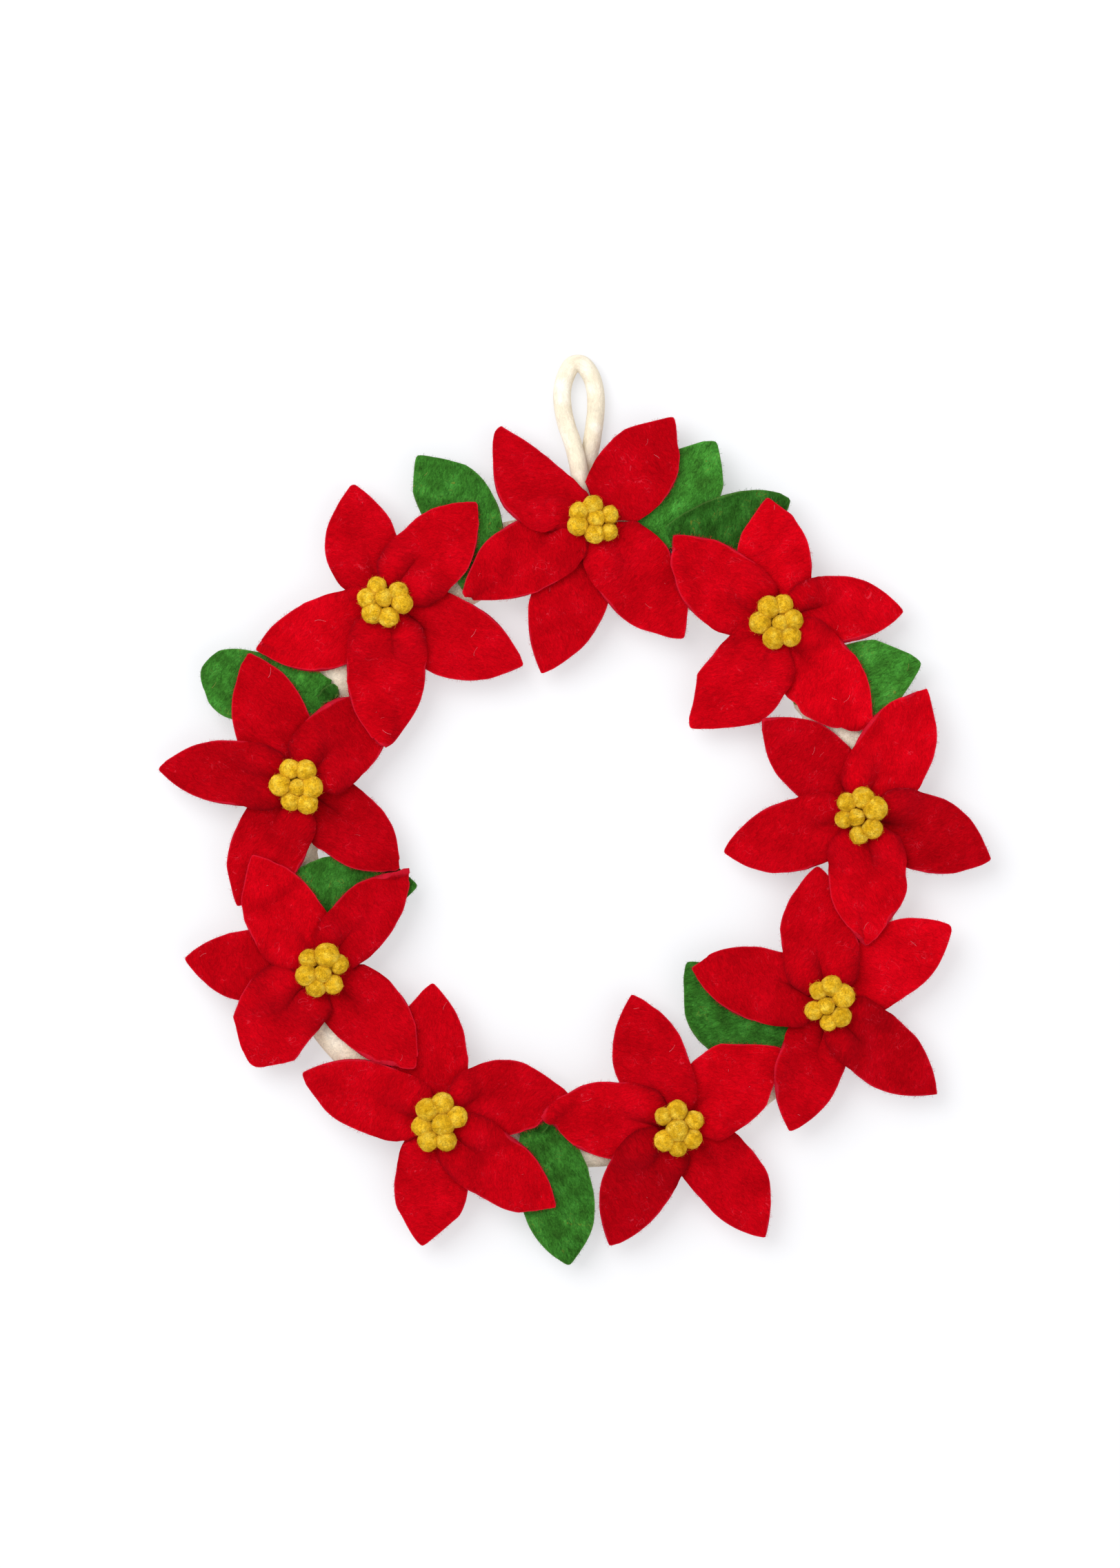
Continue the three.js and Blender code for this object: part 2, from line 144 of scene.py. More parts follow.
# The hearts: angle, distance and diameter of the six outer balls, and the ball in the middle.
HEARTS = {
    "top": (
        [(18, 7.7, 7.6), (95, 6.8, 8.4), (152, 8, 8.2), (200, 8, 8.8), (273, 6.6, 8.4), (321, 9, 7.4)],
        Ball(34, 1.1, 7.8),
    ),
    "left": (
        [(61, 9, 8.8), (112, 9, 8.5), (174, 8, 9.2), (248, 7.2, 8.4), (302, 9.4, 8.8), (358, 7, 9.4)],
        Ball(315, 0.4, 7.6),
    ),
    "lower_left_bottom": (
        [(21, 8.8, 8.8), (82, 9.8, 9.2), (131, 9, 9.6), (188, 8.3, 8.8), (236, 9.4, 9.2), (292, 8.6, 8.5)],
        Ball(349, 1.5, 10),
    ),
    "upper_left": (
        [(37, 7.6, 8), (119, 8.4, 7.8), (171, 8.8, 8.5), (222, 8.3, 8.9), (281, 7.8, 8.5), (354, 8, 8.9)],
        Ball(112, 1.6, 8),
    ),
    "lower_left": (
        [(23, 9, 8.2), (70, 8.2, 10.4), (134, 8.5, 8), (195, 7.2, 8.9), (252, 7.7, 8.5), (314, 8.5, 8)],
        Ball(315, 1.2, 7.6),
    ),
    "lower_right_bottom": (
        [(27, 8.5, 8.2), (92, 8.8, 8.5), (138, 9, 7.4), (222, 8.3, 8.8), (270, 8.8, 7.8), (325, 8.2, 8.5)],
        Ball(243, 0.7, 10),
    ),
    "upper_right": (
        [(7, 7.4, 8.5), (72, 8.6, 8.5), (120, 8.2, 9.2), (182, 8.2, 9.2), (257, 7.8, 9.2), (313, 9.4, 8.5)],
        Ball(344, 1.6, 7.6),
    ),
    "lower_right": (
        [(32, 7.6, 10), (84, 8.8, 8.8), (129, 8.4, 7.5), (203, 7.8, 8), (268, 8.5, 7.3), (313, 8, 8.8)],
        Ball(202, 1.6, 7.6),
    ),
    "right": (
        [(26, 7.8, 10.2), (82, 8.6, 9.2), (136, 9.2, 8), (191, 8, 7.5), (266, 9, 8), (313, 8.2, 8.5)],
        Ball(198, 1.9, 7.4),
    ),
}

# The leaves, lowest first. The foot is half the width that the leaf starts with, at the most.
LEAVES = [
    Leaf(0.93, -40.5, 109.5, 116, 61, 31, -6, 3.2),
    Leaf(1.2, 28.1, 126.3, 54, 54, 30, -1, 3.0),
    Leaf(0.62, 40.4, 127.5, 19, 54, 27, -2, 2.6),
    Leaf(1.2, 92.8, 60.1, 16, 56.5, 33, 0, 3.2, 1.0, 2.0),
    Leaf(0.98, -105.6, 61.1, 168.5, 55.2, 31, 2.5, 3.8, 5.0),
    Leaf(0.82, -120.4, -20.1, 1, 52.5, 28, 0, 2.3),
    Leaf(0.85, -15.4, -120.7, 282, 61.5, 31, 1, 2.6),
    Leaf(0.78, 91.3, -91.3, 138, 58.5, 33, 5, 2.8),
]

# Where a leaf's foot is folded back and shows as a small dark tuft: the leaf, and the tuft's cut.
LEAF_TUFTS = [
    (5, Leaf(0.5, -108.6, 60.8, 30, 8.5, 6.5, 0, 3.0, 2.0)),
    (7, Leaf(0.5, -15.6, -122.9, 75, 7.5, 7.0, 0, 3.0, 2.0)),
]

# The hanging loop's route: x, y and height of the cord's middle.
LOOP_ROUTE = [
    (3.4, 140.9, 10.1),
    (2.2, 152.8, 10.6),
    (0.9, 161.5, 10.4),
    (-1.3, 170.4, 8.0),
    (-3.9, 178.2, 5.2),
    (-5.4, 185.5, 4.0),
    (-5.6, 192.8, 3.9),
    (-4.0, 199.3, 3.9),
    (-1.2, 203.8, 3.9),
    (2.6, 204.2, 3.9),
    (6.2, 200.0, 3.9),
    (8.4, 193.2, 3.9),
    (8.8, 185.5, 3.9),
    (8.1, 178.2, 3.9),
    (6.9, 170.4, 3.9),
    (5.4, 161.8, 3.9),
    (4.9, 152.8, 3.9),
    (5.2, 140.9, 3.9),
]


# Colours

def from_hex(text):
    """The linear colour of an sRGB hex value such as #c80212."""
    shares = [int(text[i:i + 2], 16) / 255 for i in (1, 3, 5)]
    linear = [s / 12.92 if s <= 0.04045 else ((s + 0.055) / 1.055) ** 2.4 for s in shares]
    return (*linear, 1.0)


# Properties that a user would change

class WreathSizes(bpy.types.PropertyGroup):
    """The sizes of the wreath's felt, cord and balls."""

    petal_felt: FloatProperty(
        name="Petal felt",
        description="Thickness of the red felt",
        default=2.4 * MM,
        min=0.5 * MM,
        unit="LENGTH",
    )
    leaf_felt: FloatProperty(
        name="Leaf felt",
        description="Thickness of the green felt",
        default=2.2 * MM,
        min=0.5 * MM,
        unit="LENGTH",
    )
    ball: FloatProperty(
        name="Ball",
        description="Usual diameter of the wool balls round a heart",
        default=8.6 * MM,
        min=4 * MM,
        unit="LENGTH",
    )
    cord: FloatProperty(
        name="Cord",
        description="Diameter of the hanging loop's felted cord",
        default=7.6 * MM,
        min=3 * MM,
        unit="LENGTH",
    )
    ring_inner: FloatProperty(
        name="Ring inside",
        description="Inner radius of the padded ring",
        default=110 * MM,
        min=50 * MM,
        unit="LENGTH",
    )
    ring_outer: FloatProperty(
        name="Ring outside",
        description="Outer radius of the padded ring",
        default=140 * MM,
        min=60 * MM,
        unit="LENGTH",
    )
    ring_height: FloatProperty(
        name="Ring height",
        description="Height of the padded ring's crown",
        default=13 * MM,
        min=5 * MM,
        unit="LENGTH",
    )


class WreathColours(bpy.types.PropertyGroup):
    """The colours of the wreath's wool."""

    red: FloatVectorProperty(
        name="Red felt",
        description="Main colour of the petals",
        default=from_hex("#b5020e"),
        subtype="COLOR",
        size=4,
        min=0,
        max=1,
    )
    green: FloatVectorProperty(
        name="Green felt",
        description="Main colour of the leaves",
        default=from_hex("#346f24"),
        subtype="COLOR",
        size=4,
        min=0,
        max=1,
    )
    cream: FloatVectorProperty(
        name="Cream wool",
        description="Main colour of the padded ring and the hanging loop",
        default=from_hex("#e8dcc4"),
        subtype="COLOR",
        size=4,
        min=0,
        max=1,
    )
    mustard: FloatVectorProperty(
        name="Mustard wool",
        description="Main colour of the hearts' balls",
        default=from_hex("#d9aa22"),
        subtype="COLOR",
        size=4,
        min=0,
        max=1,
    )


# Materials

Wool = namedtuple("Wool", "clump tuft fibre depth stray_colour stray_share rim_colour rim_share sheen")

# How big the wool's clouds, tufts and fibres are in millimetres, how deep it looks, and its colours.
# Needle-felted sheet wool: fibres lie every way in the plane, so its colour is softly clouded,
# with short tufts and a few stray fibres of another tone, and it has no gloss.
PETAL_WOOL = Wool(14, 1.1, 0.5, 0.34, "#e2485c", 0.25, "#dc2c48", 0.35, 0.14)
LEAF_WOOL = Wool(7, 1.2, 0.5, 0.6, "#8f6a26", 0.35, "#6d9048", 0.25, 0.08)
RING_WOOL = Wool(12, 2.0, 0.6, 0.25, "#f2e6d2", 0.35, "#f2e6d2", 0.0, 0.15)
# Wet-felted cord and balls: the wool is rolled, so the fibres swirl round and stand out a little.
CORD_WOOL = Wool(10, 1.4, 0.5, 0.15, "#fbf3e2", 0.45, "#fbf3e2", 0.0, 0.2)
BALL_WOOL = Wool(3.5, 1.3, 0.5, 0.5, "#f4d566", 0.55, "#f2cf5a", 0.0, 0.10)

# Each slot's material: its name, whose main colour it has, its dark and light clouds, its wool, and
# how its fibres are stretched along the sheet or cord.
WOOLS = {
    # Craft felt of dyed wool, scarlet, clouded by how its fibres lie.
    "red_felt": ("red_wool_felt", "red", "#a7010b", "#c20313", PETAL_WOOL, (0.5, 1.1, 1)),
    # Craft felt of mixed green wools, with a few fibres of straw in it.
    "green_felt": ("green_wool_felt", "green", "#2c591c", "#418632", LEAF_WOOL, (0.5, 1.1, 1)),
    # Undyed wool felt, wrapped round the ring's padding.
    "cream_felt": ("cream_wool_felt", "cream", "#d6c9b0", "#eee7d6", RING_WOOL, (1, 1, 1)),
    # Undyed wool roving rolled wet into a cord, its fibres along it.
    "cream_cord": ("cream_felted_cord", "cream", "#e2d7c0", "#f7f0e0", CORD_WOOL, (0.4, 1, 1)),
    # Dyed wool roving rolled wet into a ball, its fibres round it.
    "mustard_wool": ("mustard_wool_ball", "mustard", "#c08f0f", "#e6c242", BALL_WOOL, (1, 1, 1)),
}
STRAY_BEND = 5.5
STRAY_PATCH = 7
THREAD_CLUMP = 3
FELT_RELIEF = 0.5


def add_node(tree, kind, inputs=None, **settings):
    """Adds one node with its settings, and sets or links its inputs, which go by name or number."""
    node = tree.nodes.new(kind)
    for name, value in settings.items():
        setattr(node, name, value)
    for name, value in (inputs or {}).items():
        if isinstance(value, bpy.types.NodeSocket):
            tree.links.new(value, node.inputs[name])
        else:
            node.inputs[name].default_value = value
    return node


def per_mm(size):
    """The scale of a noise pattern whose clumps are this many millimetres across."""
    return 1 / (size * MM)


def tinted(colour, share):
    """A colour made lighter or darker by a share."""
    return (*[min(1.0, c * share) for c in colour[:3]], 1.0)


def empty_material(name, colour):
    """A material that has no nodes yet, and its node tree."""
    material = bpy.data.materials.new(name)
    material.use_nodes = True
    material.node_tree.nodes.clear()
    material.diffuse_color = colour
    return material, material.node_tree


def wool_material(name, colour, dark, light, wool, grain):
    """Wool felt of one colour."""
    material, tree = empty_material(name, colour)
    place, tone, rim = [
        add_node(tree, "ShaderNodeAttribute", attribute_name=layer).outputs[output]
        for layer, output in (("felt_place", "Vector"), ("felt_tone", "Fac"), ("felt_rim", "Fac"))
    ]
    lying = add_node(tree, "ShaderNodeMapping", {"Vector": place, "Scale": grain}).outputs["Vector"]

    # Each noise pattern: what it lies along, its size, detail, roughness and distortion.
    patterns = [
        (place, wool.clump, 4, 0.5, 0),
        (lying, wool.tuft, 4, 0.7, 1.2),
        (lying, wool.fibre, 2, 0.6, 2.5),
        (place, STRAY_BEND, 1, 0.5, 1.6),
        (place, STRAY_PATCH, 2, 0.5, 0),
    ]
    seen = []
    for along, size, detail, rough, bent in patterns:
        shape = {"Detail": detail, "Roughness": rough, "Distortion": bent}
        pattern = add_node(tree, "ShaderNodeTexNoise", {"Vector": along, "Scale": per_mm(size), **shape})
        seen.append(pattern.outputs["Fac"])
    clouds, tufts, fibres, swirl, patches = seen

    cloud_ramp = add_node(tree, "ShaderNodeValToRGB", {"Fac": clouds})
    stops = cloud_ramp.color_ramp.elements
    stops[0].position = 0.30
    stops[0].color = from_hex(dark)
    stops[1].position = 0.72
    stops[1].color = from_hex(light)
    stops.new(0.50).color = colour

    # The tufts and the fibres darken and lighten the wool, on top of the piece's own tone, which also
    # carries the painted shade of creases and of the sewn wad, and the painted highlight of fuzz.
    shade = tone
    for pattern, darker, lighter in ((tufts, 1.0, 0.7), (fibres, 0.6, 0.5)):
        spread = {"To Min": 1 - wool.depth * darker, "To Max": 1 + wool.depth * lighter}
        depth = {"Value": pattern, "From Min": 0.3, "From Max": 0.7, **spread}
        part = add_node(tree, "ShaderNodeMapRange", depth).outputs["Result"]
        shade = add_node(tree, "ShaderNodeMath", {0: shade, 1: part}, operation="MULTIPLY").outputs[0]
    ground = {"Color": cloud_ramp.outputs["Color"], "Value": shade}
    shaded = add_node(tree, "ShaderNodeHueSaturation", ground).outputs["Color"]

    # Stray fibres: the thin line where a swirling noise passes its middle value, kept in patches.
    off_line = add_node(tree, "ShaderNodeMath", {0: swirl, 1: 0.5}, operation="SUBTRACT").outputs[0]
    away = add_node(tree, "ShaderNodeMath", {0: off_line}, operation="ABSOLUTE").outputs[0]
    thin = {"Value": away, "From Min": 0.004, "From Max": 0.011, "To Min": 1.0, "To Max": 0.0}
    strays = add_node(tree, "ShaderNodeMapRange", thin).outputs["Result"]
    kept = {"Value": patches, "From Min": 0.56, "From Max": 0.66}
    patch = add_node(tree, "ShaderNodeMapRange", kept).outputs["Result"]
    for share in (patch, wool.stray_share):
        strays = add_node(tree, "ShaderNodeMath", {0: strays, 1: share}, operation="MULTIPLY").outputs[0]

    # The cut edge: the felt opens where the scissors went, so it is fluffier there, and it is drawn lighter
    # there, partly the fluffed felt's own colour and partly painted highlight where the fuzz catches the
    # light.
    wobble = {0: fibres, 1: 0.9, 2: rim}
    rim_wobble = add_node(tree, "ShaderNodeMath", wobble, operation="MULTIPLY_ADD").outputs[0]
    near = {"Value": rim_wobble, "From Min": 0.45, "From Max": 1.15, "To Min": wool.rim_share, "To Max": 0.0}
    rim_fluff_and_highlight = add_node(tree, "ShaderNodeMapRange", near).outputs["Result"]
    wool_colour = shaded
    for share, other in ((strays, wool.stray_colour), (rim_fluff_and_highlight, wool.rim_colour)):
        mixed = {0: share, 6: wool_colour, 7: from_hex(other)}
        wool_colour = add_node(tree, "ShaderNodeMix", mixed, data_type="RGBA").outputs[2]

    relief = {0: fibres, 1: 0.45, 2: tufts}
    height = add_node(tree, "ShaderNodeMath", relief, operation="MULTIPLY_ADD").outputs[0]
    raised = {"Height": height, "Strength": 0.6, "Distance": FELT_RELIEF * MM}
    shader = add_node(
        tree,
        "ShaderNodeBsdfPrincipled",
        {
            "Base Color": wool_colour,
            "Roughness": 1.0,
            "Specular IOR Level": 0.01,
            "Sheen Weight": wool.sheen,
            "Sheen Roughness": 0.6,
            "Sheen Tint": tinted(from_hex(wool.rim_colour), 1.3),
            "Normal": add_node(tree, "ShaderNodeBump", raised).outputs["Normal"],
        },
    )
    add_node(tree, "ShaderNodeOutputMaterial", {"Surface": shader.outputs["BSDF"]})
    return material


def wool_of(slot):
    """The wool of a slot, made the first time that it is asked for."""
    name, colour, dark, light, wool, grain = WOOLS[slot]
    main_colour = getattr(bpy.context.scene.wreath_colours, colour)
    return bpy.data.materials.get(name) or wool_material(name, main_colour, dark, light, wool, grain)


def thread_material(name, colour):
    """A single wool fibre that has come loose, thin enough to look pale."""
    material, tree = empty_material(name, from_hex(colour))
    place = add_node(tree, "ShaderNodeTexCoord").outputs["Object"]
    clumps = {"Vector": place, "Scale": per_mm(THREAD_CLUMP), "Detail": 1.0}
    along = add_node(tree, "ShaderNodeTexNoise", clumps)
    ramp = add_node(tree, "ShaderNodeValToRGB", {"Fac": along.outputs["Fac"]})
    ramp.color_ramp.elements[0].color = tinted(from_hex(colour), 0.75)
    ramp.color_ramp.elements[1].color = tinted(from_hex(colour), 1.15)
    looks = {"Base Color": ramp.outputs["Color"], "Roughness": 0.9, "Specular IOR Level": 0.1}
    shader = add_node(tree, "ShaderNodeBsdfPrincipled", looks)
    add_node(tree, "ShaderNodeOutputMaterial", {"Surface": shader.outputs["BSDF"]})
    return material


# The bed: how high everything laid so far stands

class Bed:
    """The height of everything laid so far, in millimetres, on a square grid of cells."""

    cell = 0.5
    reach = 215

    def __init__(self):
        cells = int(2 * self.reach / self.cell)
        self.high = np.zeros((cells, cells))

    def cell_of(self, value):
        """The row or column that a place falls in."""
        place = np.floor((np.asarray(value, float) + self.reach) / self.cell).astype(int)
        return np.clip(place, 1, len(self.high) - 2)

    def lay(self, x, y, z):
        """Notes points of something that has been laid down."""
        np.maximum.at(self.high, (self.cell_of(y), self.cell_of(x)), z)

    def at(self, x, y):
        """The height in the cell itself."""
        return self.high[self.cell_of(y), self.cell_of(x)]

    def under(self, x, y):
        """The highest thing in a cell and those round it."""
        row, column = self.cell_of(y), self.cell_of(x)
        steps = [(r, c) for r in (-1, 0, 1) for c in (-1, 0, 1)]
        return np.max([self.high[row + r, column + c] for r, c in steps], axis=0)


bed = Bed()


def finer(values, parts):
    """A grid of values with points put in between."""
    for axis in (0, 1):
        old = np.arange(values.shape[axis])
        new = np.linspace(0, values.shape[axis] - 1, (values.shape[axis] - 1) * parts + 1)
        values = np.apply_along_axis(lambda line: np.interp(new, old, line), axis, values)
    return values


# What every piece needs

RING_MIDDLE = Vector((*RING_CENTRE, 0))
# A vertex that has no cut edge near it.
NO_EDGE = 9.0


def chance(seed):
    """A generator of numbers that gives the same ones on every run."""
    return np.random.default_rng(seed)


def felt_layers(mesh):
    """The attributes that the wool materials read."""
    return (
        mesh.verts.layers.float_vector.new("felt_place"),
        mesh.verts.layers.float.new("felt_tone"),
        mesh.verts.layers.float.new("felt_rim"),
    )


def settle(vert, layers, spot, felt_place, tone, rim=NO_EDGE):
    """Puts a vertex in its place, and notes its place in the felt, its tone with any painted light in it,
    and how near the cut is.
    """
    vert[layers[0]] = felt_place * MM
    vert[layers[1]] = tone
    vert[layers[2]] = rim
    vert.co = (spot + RING_MIDDLE) * MM


def extrude_round(mesh, edges):
    """Extrudes a ring of edges, and returns the new ring's vertices and edges."""
    grown = bmesh.ops.extrude_edge_only(mesh, edges=edges)["geom"]
    fresh = [item for item in grown if isinstance(item, bmesh.types.BMVert)]
    edges = [item for item in grown if isinstance(item, bmesh.types.BMEdge)]
    return fresh, [edge for edge in edges if all(vert in set(fresh) for vert in edge.verts)]


def new_piece(name, mesh):
    """Turns a bmesh into a smooth-shaded object at the origin."""
    for face in mesh.faces:
        face.smooth = True
    data = bpy.data.meshes.new(name)
    mesh.to_mesh(data)
    mesh.free()
    piece = bpy.data.objects.new(name, data)
    bpy.context.scene.collection.objects.link(piece)
    return piece


def dress(piece, slot, node, material=None):
    """Gives a piece its material, hangs it on the root, and hides the part of the frame that it stands for.
    """
    piece.data.materials.append(material or wool_of(slot))
    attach(piece, "root")
    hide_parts(node)


# Sheets of felt

Cut = namedtuple("Cut", "x y angle length width lean tip blunt start")
Form = namedtuple(
    "Form", "seed tone wedge wave cup ripple phase lift pinch pleat fold_at", defaults=[0, 0, 0, 0]
)

# The sheet's rows and columns, and how its rows crowd towards the tip.
ALONG = 40
ACROSS = 18
TIP_CROWDING = 1.4
# The cut: where it is widest, how wide it starts, and how its point is cut.
WIDEST_AT = 0.47
BASE_SHARE = 0.5
TIP_CUT = 0.6
TIP_SPREAD = 0.6
FLARE_AT = 6
EDGE_STRAY = 0.5
SLOW_STRAY = 5
QUICK_STRAY = 1.6
SIDE_WOBBLE = 0.35
# How it lies: the fall past the ring, the room over what is below, and the settling.
DROOP_FALL = 4
DROOP_REACH = 45
REST_HEIGHT = 0.6
CLEARANCE = 0.1
TIP_EASE = 3.5
STEEPEST_TIP = 0.25
DRAPE_PASSES = 90
DRAPE_PULL = 0.015
WAVE_LENGTH = 13
WAVE_WIDTH = 10
PINCH_REACH = 0.55
# The gather at a petal's base, how much darker its crease is drawn as painted shade, and the small puckers
# just past it.
GATHER_AT = 13
GATHER_REACH = 10
RIDGE_ROUNDNESS = 0.65
PAINTED_CREASE_SHADE = 0.18
PUCKER = 0.35
PUCKER_AT = 15
PUCKER_REACH = 5
# The base of a petal is sewn in, so no cut edge shows there.
SEWN_SHARE = 0.42
SEWN_RIM = 8
EDGE_ROUNDING = 0.35


def half_width(u, cut):
    """Half the width of a petal or leaf along its length, with its point cut a little round."""
    whole = u * cut.length / (cut.length + TIP_CUT * cut.blunt)
    swell = 1 - (1 - BASE_SHARE) * ((WIDEST_AT - u) / WIDEST_AT) ** 2
    taper = 1 - np.clip((whole - WIDEST_AT) / (1 - WIDEST_AT), 0, 1) ** cut.tip
    share = np.where(u < WIDEST_AT, swell, taper)
    left = (1 - u) * cut.length
    point = np.sqrt(2 * cut.blunt * left + 1e-9) + TIP_SPREAD * left
    return np.minimum(cut.width / 2 * share, point)


def ragged_edge(along, across, seed):
    """How far scissors strayed from the line, along one edge and the other."""

    def strayed(gone, way):
        slow = noise.noise(Vector((gone / SLOW_STRAY, way, seed)))
        return slow + 0.4 * noise.noise(Vector((gone / QUICK_STRAY, way, seed)))

    left, right = ([[strayed(gone, way)] for gone in along] for way in (3, 8))
    return EDGE_STRAY * np.where(across[None, :] < 0, np.array(left), np.array(right))


def cut_out(cut, form):
    """How far along each row of a sheet is, its half width, and how far aside each point lies."""
    rows = np.linspace(0, 1, ALONG + 1)
    u = cut.start + (1 - cut.start) * (1 - (1 - rows) ** TIP_CROWDING)
    gone = u * cut.length
    start, opening, flare = form.wedge
    wedge = start + gone * opening + flare * np.maximum(0, gone - FLARE_AT) ** 2
    half = np.minimum(half_width(u, cut), wedge)
    wobble = np.array([SIDE_WOBBLE * noise.noise(Vector((form.seed, 6 * share, 0))) for share in u])
    middle = cut.lean * 4 * u * (1 - u) + wobble * (1 - u)
    across = np.linspace(-1, 1, ACROSS + 1)
    side = middle[:, None] + across * half[:, None]
    side += np.abs(across) ** 3 * ragged_edge(gone, across, form.seed) * (1 - u[:, None])
    return u, half, side


def beyond_ring(x, y, sizes):
    """How far a place lies outside the band that the ring carries."""
    radius = np.hypot(x, y)
    inner = sizes.ring_inner / MM
    outer = sizes.ring_outer / MM
    return np.maximum(0, np.maximum(inner - radius, radius - outer))


def hanging_free(u, across, form, past):
    """How a sheet would stand above the ring's crown if it touched nothing."""
    fold = np.clip(1 - u / PINCH_REACH, 0, 1)
    free = form.lift * u**2 + form.pinch * fold * np.abs(across) ** 1.4 - DROOP_FALL * past**2
    free = free + form.cup * across**2 * np.sin(np.pi * u)
    wave = np.sin(2 * np.pi * (1.3 * u + form.phase) + 0.8 * across)
    return free + form.ripple * wave * across**2


def drape(x, y, free):
    """Lets a sheet down onto the bed: it lies on what is there and spans what it can't follow."""
    floor = np.maximum(REST_HEIGHT, bed.under(x, y) + CLEARANCE)
    z = np.maximum(free, floor)
    for _ in range(DRAPE_PASSES):
        wide = np.pad(z, 1, mode="reflect", reflect_type="odd")
        mean = (wide[:-2, 1:-1] + wide[2:, 1:-1] + wide[1:-1, :-2] + wide[1:-1, 2:]) / 4
        z = np.maximum(floor, z + 0.5 * (mean - z) - DRAPE_PULL * (z - free))
    return z


def gathered(u, gone, across, form):
    """The gather at a sheet's base: how high it stands, and how deep its crease is, which sets the painted
    shade drawn in it.
    """
    # A valley runs down the middle, and the sides stand up beside it.
    from_fold = across - form.fold_at * (1 - across**2)
    ridge = np.abs(np.sin(np.pi * from_fold)) ** RIDGE_ROUNDNESS
    gather = form.pleat * np.exp(-(((gone - GATHER_AT) / GATHER_REACH) ** 2))
    pucker = PUCKER * form.pleat * np.exp(-(((gone - PUCKER_AT) / PUCKER_REACH) ** 2))
    small = 0.5 + 0.5 * np.sin(3 * np.pi * across + 6.3 * form.phase + 3 * u)
    return gather * ridge + pucker * small * (1 - across**2), gather * (1 - ridge)


def soft_waves(u, gone, side, form):
    """The slow unevenness that felt has from being handled, always upwards."""
    heights = np.zeros_like(gone)
    for spot in np.ndindex(gone.shape):
        place = Vector((gone[spot] / WAVE_LENGTH, side[spot] / WAVE_WIDTH, form.seed))
        heights[spot] = max(0.0, noise.noise(place) + 0.35)
    return form.wave * heights * np.sin(np.pi * np.clip(u, 0, 0.97)) ** 0.6


def ease_tip(x, y, z, left):
    """Runs the last millimetres of a sheet on straight, so that its point doesn't crumple."""
    first = int(np.argmax(left < TIP_EASE))
    back = int(np.argmax(left < 2.5 * TIP_EASE))
    start = z[first].mean()
    slope = (start - z[back].mean()) / (left[back] - left[first])
    gone = left[first] - left[first:]
    share = (gone / left[first])[:, None]
    run_on = np.clip(slope, -STEEPEST_TIP, STEEPEST_TIP) * gone[:, None]
    straight = start + run_on + (z[first] - start) * (1 - share)
    floor = np.maximum(REST_HEIGHT, bed.under(x[first:], y[first:]) + CLEARANCE)
    z[first:] = straight + np.max(floor - straight).clip(0) * share
    return z


def sheet_of_felt(name, cut, form, thickness, sizes):
    """Cuts a petal or leaf and lays it on the bed: its object, its cut area and its upper face."""
    u, half, side = cut_out(cut, form)
    across = np.linspace(-1, 1, ACROSS + 1)
    u_grid, across_grid = np.meshgrid(u, across, indexing="ij")
    gone = u_grid * cut.length
    turn = math.radians(cut.angle)
    x = cut.x + math.cos(turn) * gone - math.sin(turn) * side
    y = cut.y + math.sin(turn) * gone + math.cos(turn) * side
    past = np.minimum(1, beyond_ring(x, y, sizes) / DROOP_REACH)
    crown = sizes.ring_height / MM + CLEARANCE
    z = drape(x, y, crown + hanging_free(u_grid, across_grid, form, past))
    rise, crease = gathered(u_grid, gone, across_grid, form)
    z = z + rise + soft_waves(u_grid, gone, side, form)
    left = (1 - u) * cut.length
    z = ease_tip(x, y, z, left)
    top = np.stack([x, y, z + thickness / MM], -1)
    bed.lay(*[finer(top[..., axis], 4) for axis in range(3)])

    mesh = bmesh.new()
    bmesh.ops.create_grid(mesh, x_segments=ALONG, y_segments=ACROSS, size=1)
    layers = felt_layers(mesh)
    # Each piece is cut out of the sheet of felt at its own angle to the way the fibres lie.
    grain_way = Matrix.Rotation(float(chance(form.seed).uniform(0, math.pi)), 3, "Z")
    for vert in mesh.verts:
        row = round((vert.co.x + 1) / 2 * ALONG)
        column = round((vert.co.y + 1) / 2 * ACROSS)
        spot = Vector((x[row, column], y[row, column], z[row, column]))
        flat = grain_way @ Vector((gone[row, column], side[row, column], 0)) + Vector((0, 0, form.seed))
        # The felt is drawn darker in the crease at the base: painted shade.
        tone = form.tone * (1 - PAINTED_CREASE_SHADE * crease[row, column])
        sewn_in = SEWN_RIM * max(0, 1 - u[row] / SEWN_SHARE) if form.pleat else 0
        rim = min((1 - abs(across[column])) * half[row], left[row]) + sewn_in
        settle(vert, layers, spot, flat, tone, rim)
    bmesh.ops.remove_doubles(mesh, verts=mesh.verts, dist=0.01 * MM)
    piece = new_piece(name, mesh)
    solid = piece.modifiers.new("felt_thickness", "SOLIDIFY")
    solid.thickness = thickness
    solid.offset = 1
    solid.use_rim = True
    soft = piece.modifiers.new("cut_edge", "BEVEL")
    soft.width = EDGE_ROUNDING * MM
    soft.segments = 2
    soft.limit_method = "ANGLE"
    soft.angle_limit = math.radians(50)
    cut_area = float(np.sum((half[1:] + half[:-1]) * np.diff(u) * cut.length))
    return piece, cut_area * MM**2, top


# Loose fibres

EDGE_HAIRS_PER_MM = 2.6
EDGE_HAIR = (0.8, 0.06)
FACE_HAIRS = 14
STRAY_HAIR = (3.6, 0.11)
STRAY_HAIRS = 2
STRAY_RED = "#e4818c"
STRAY_STRAW = "#b9a05a"


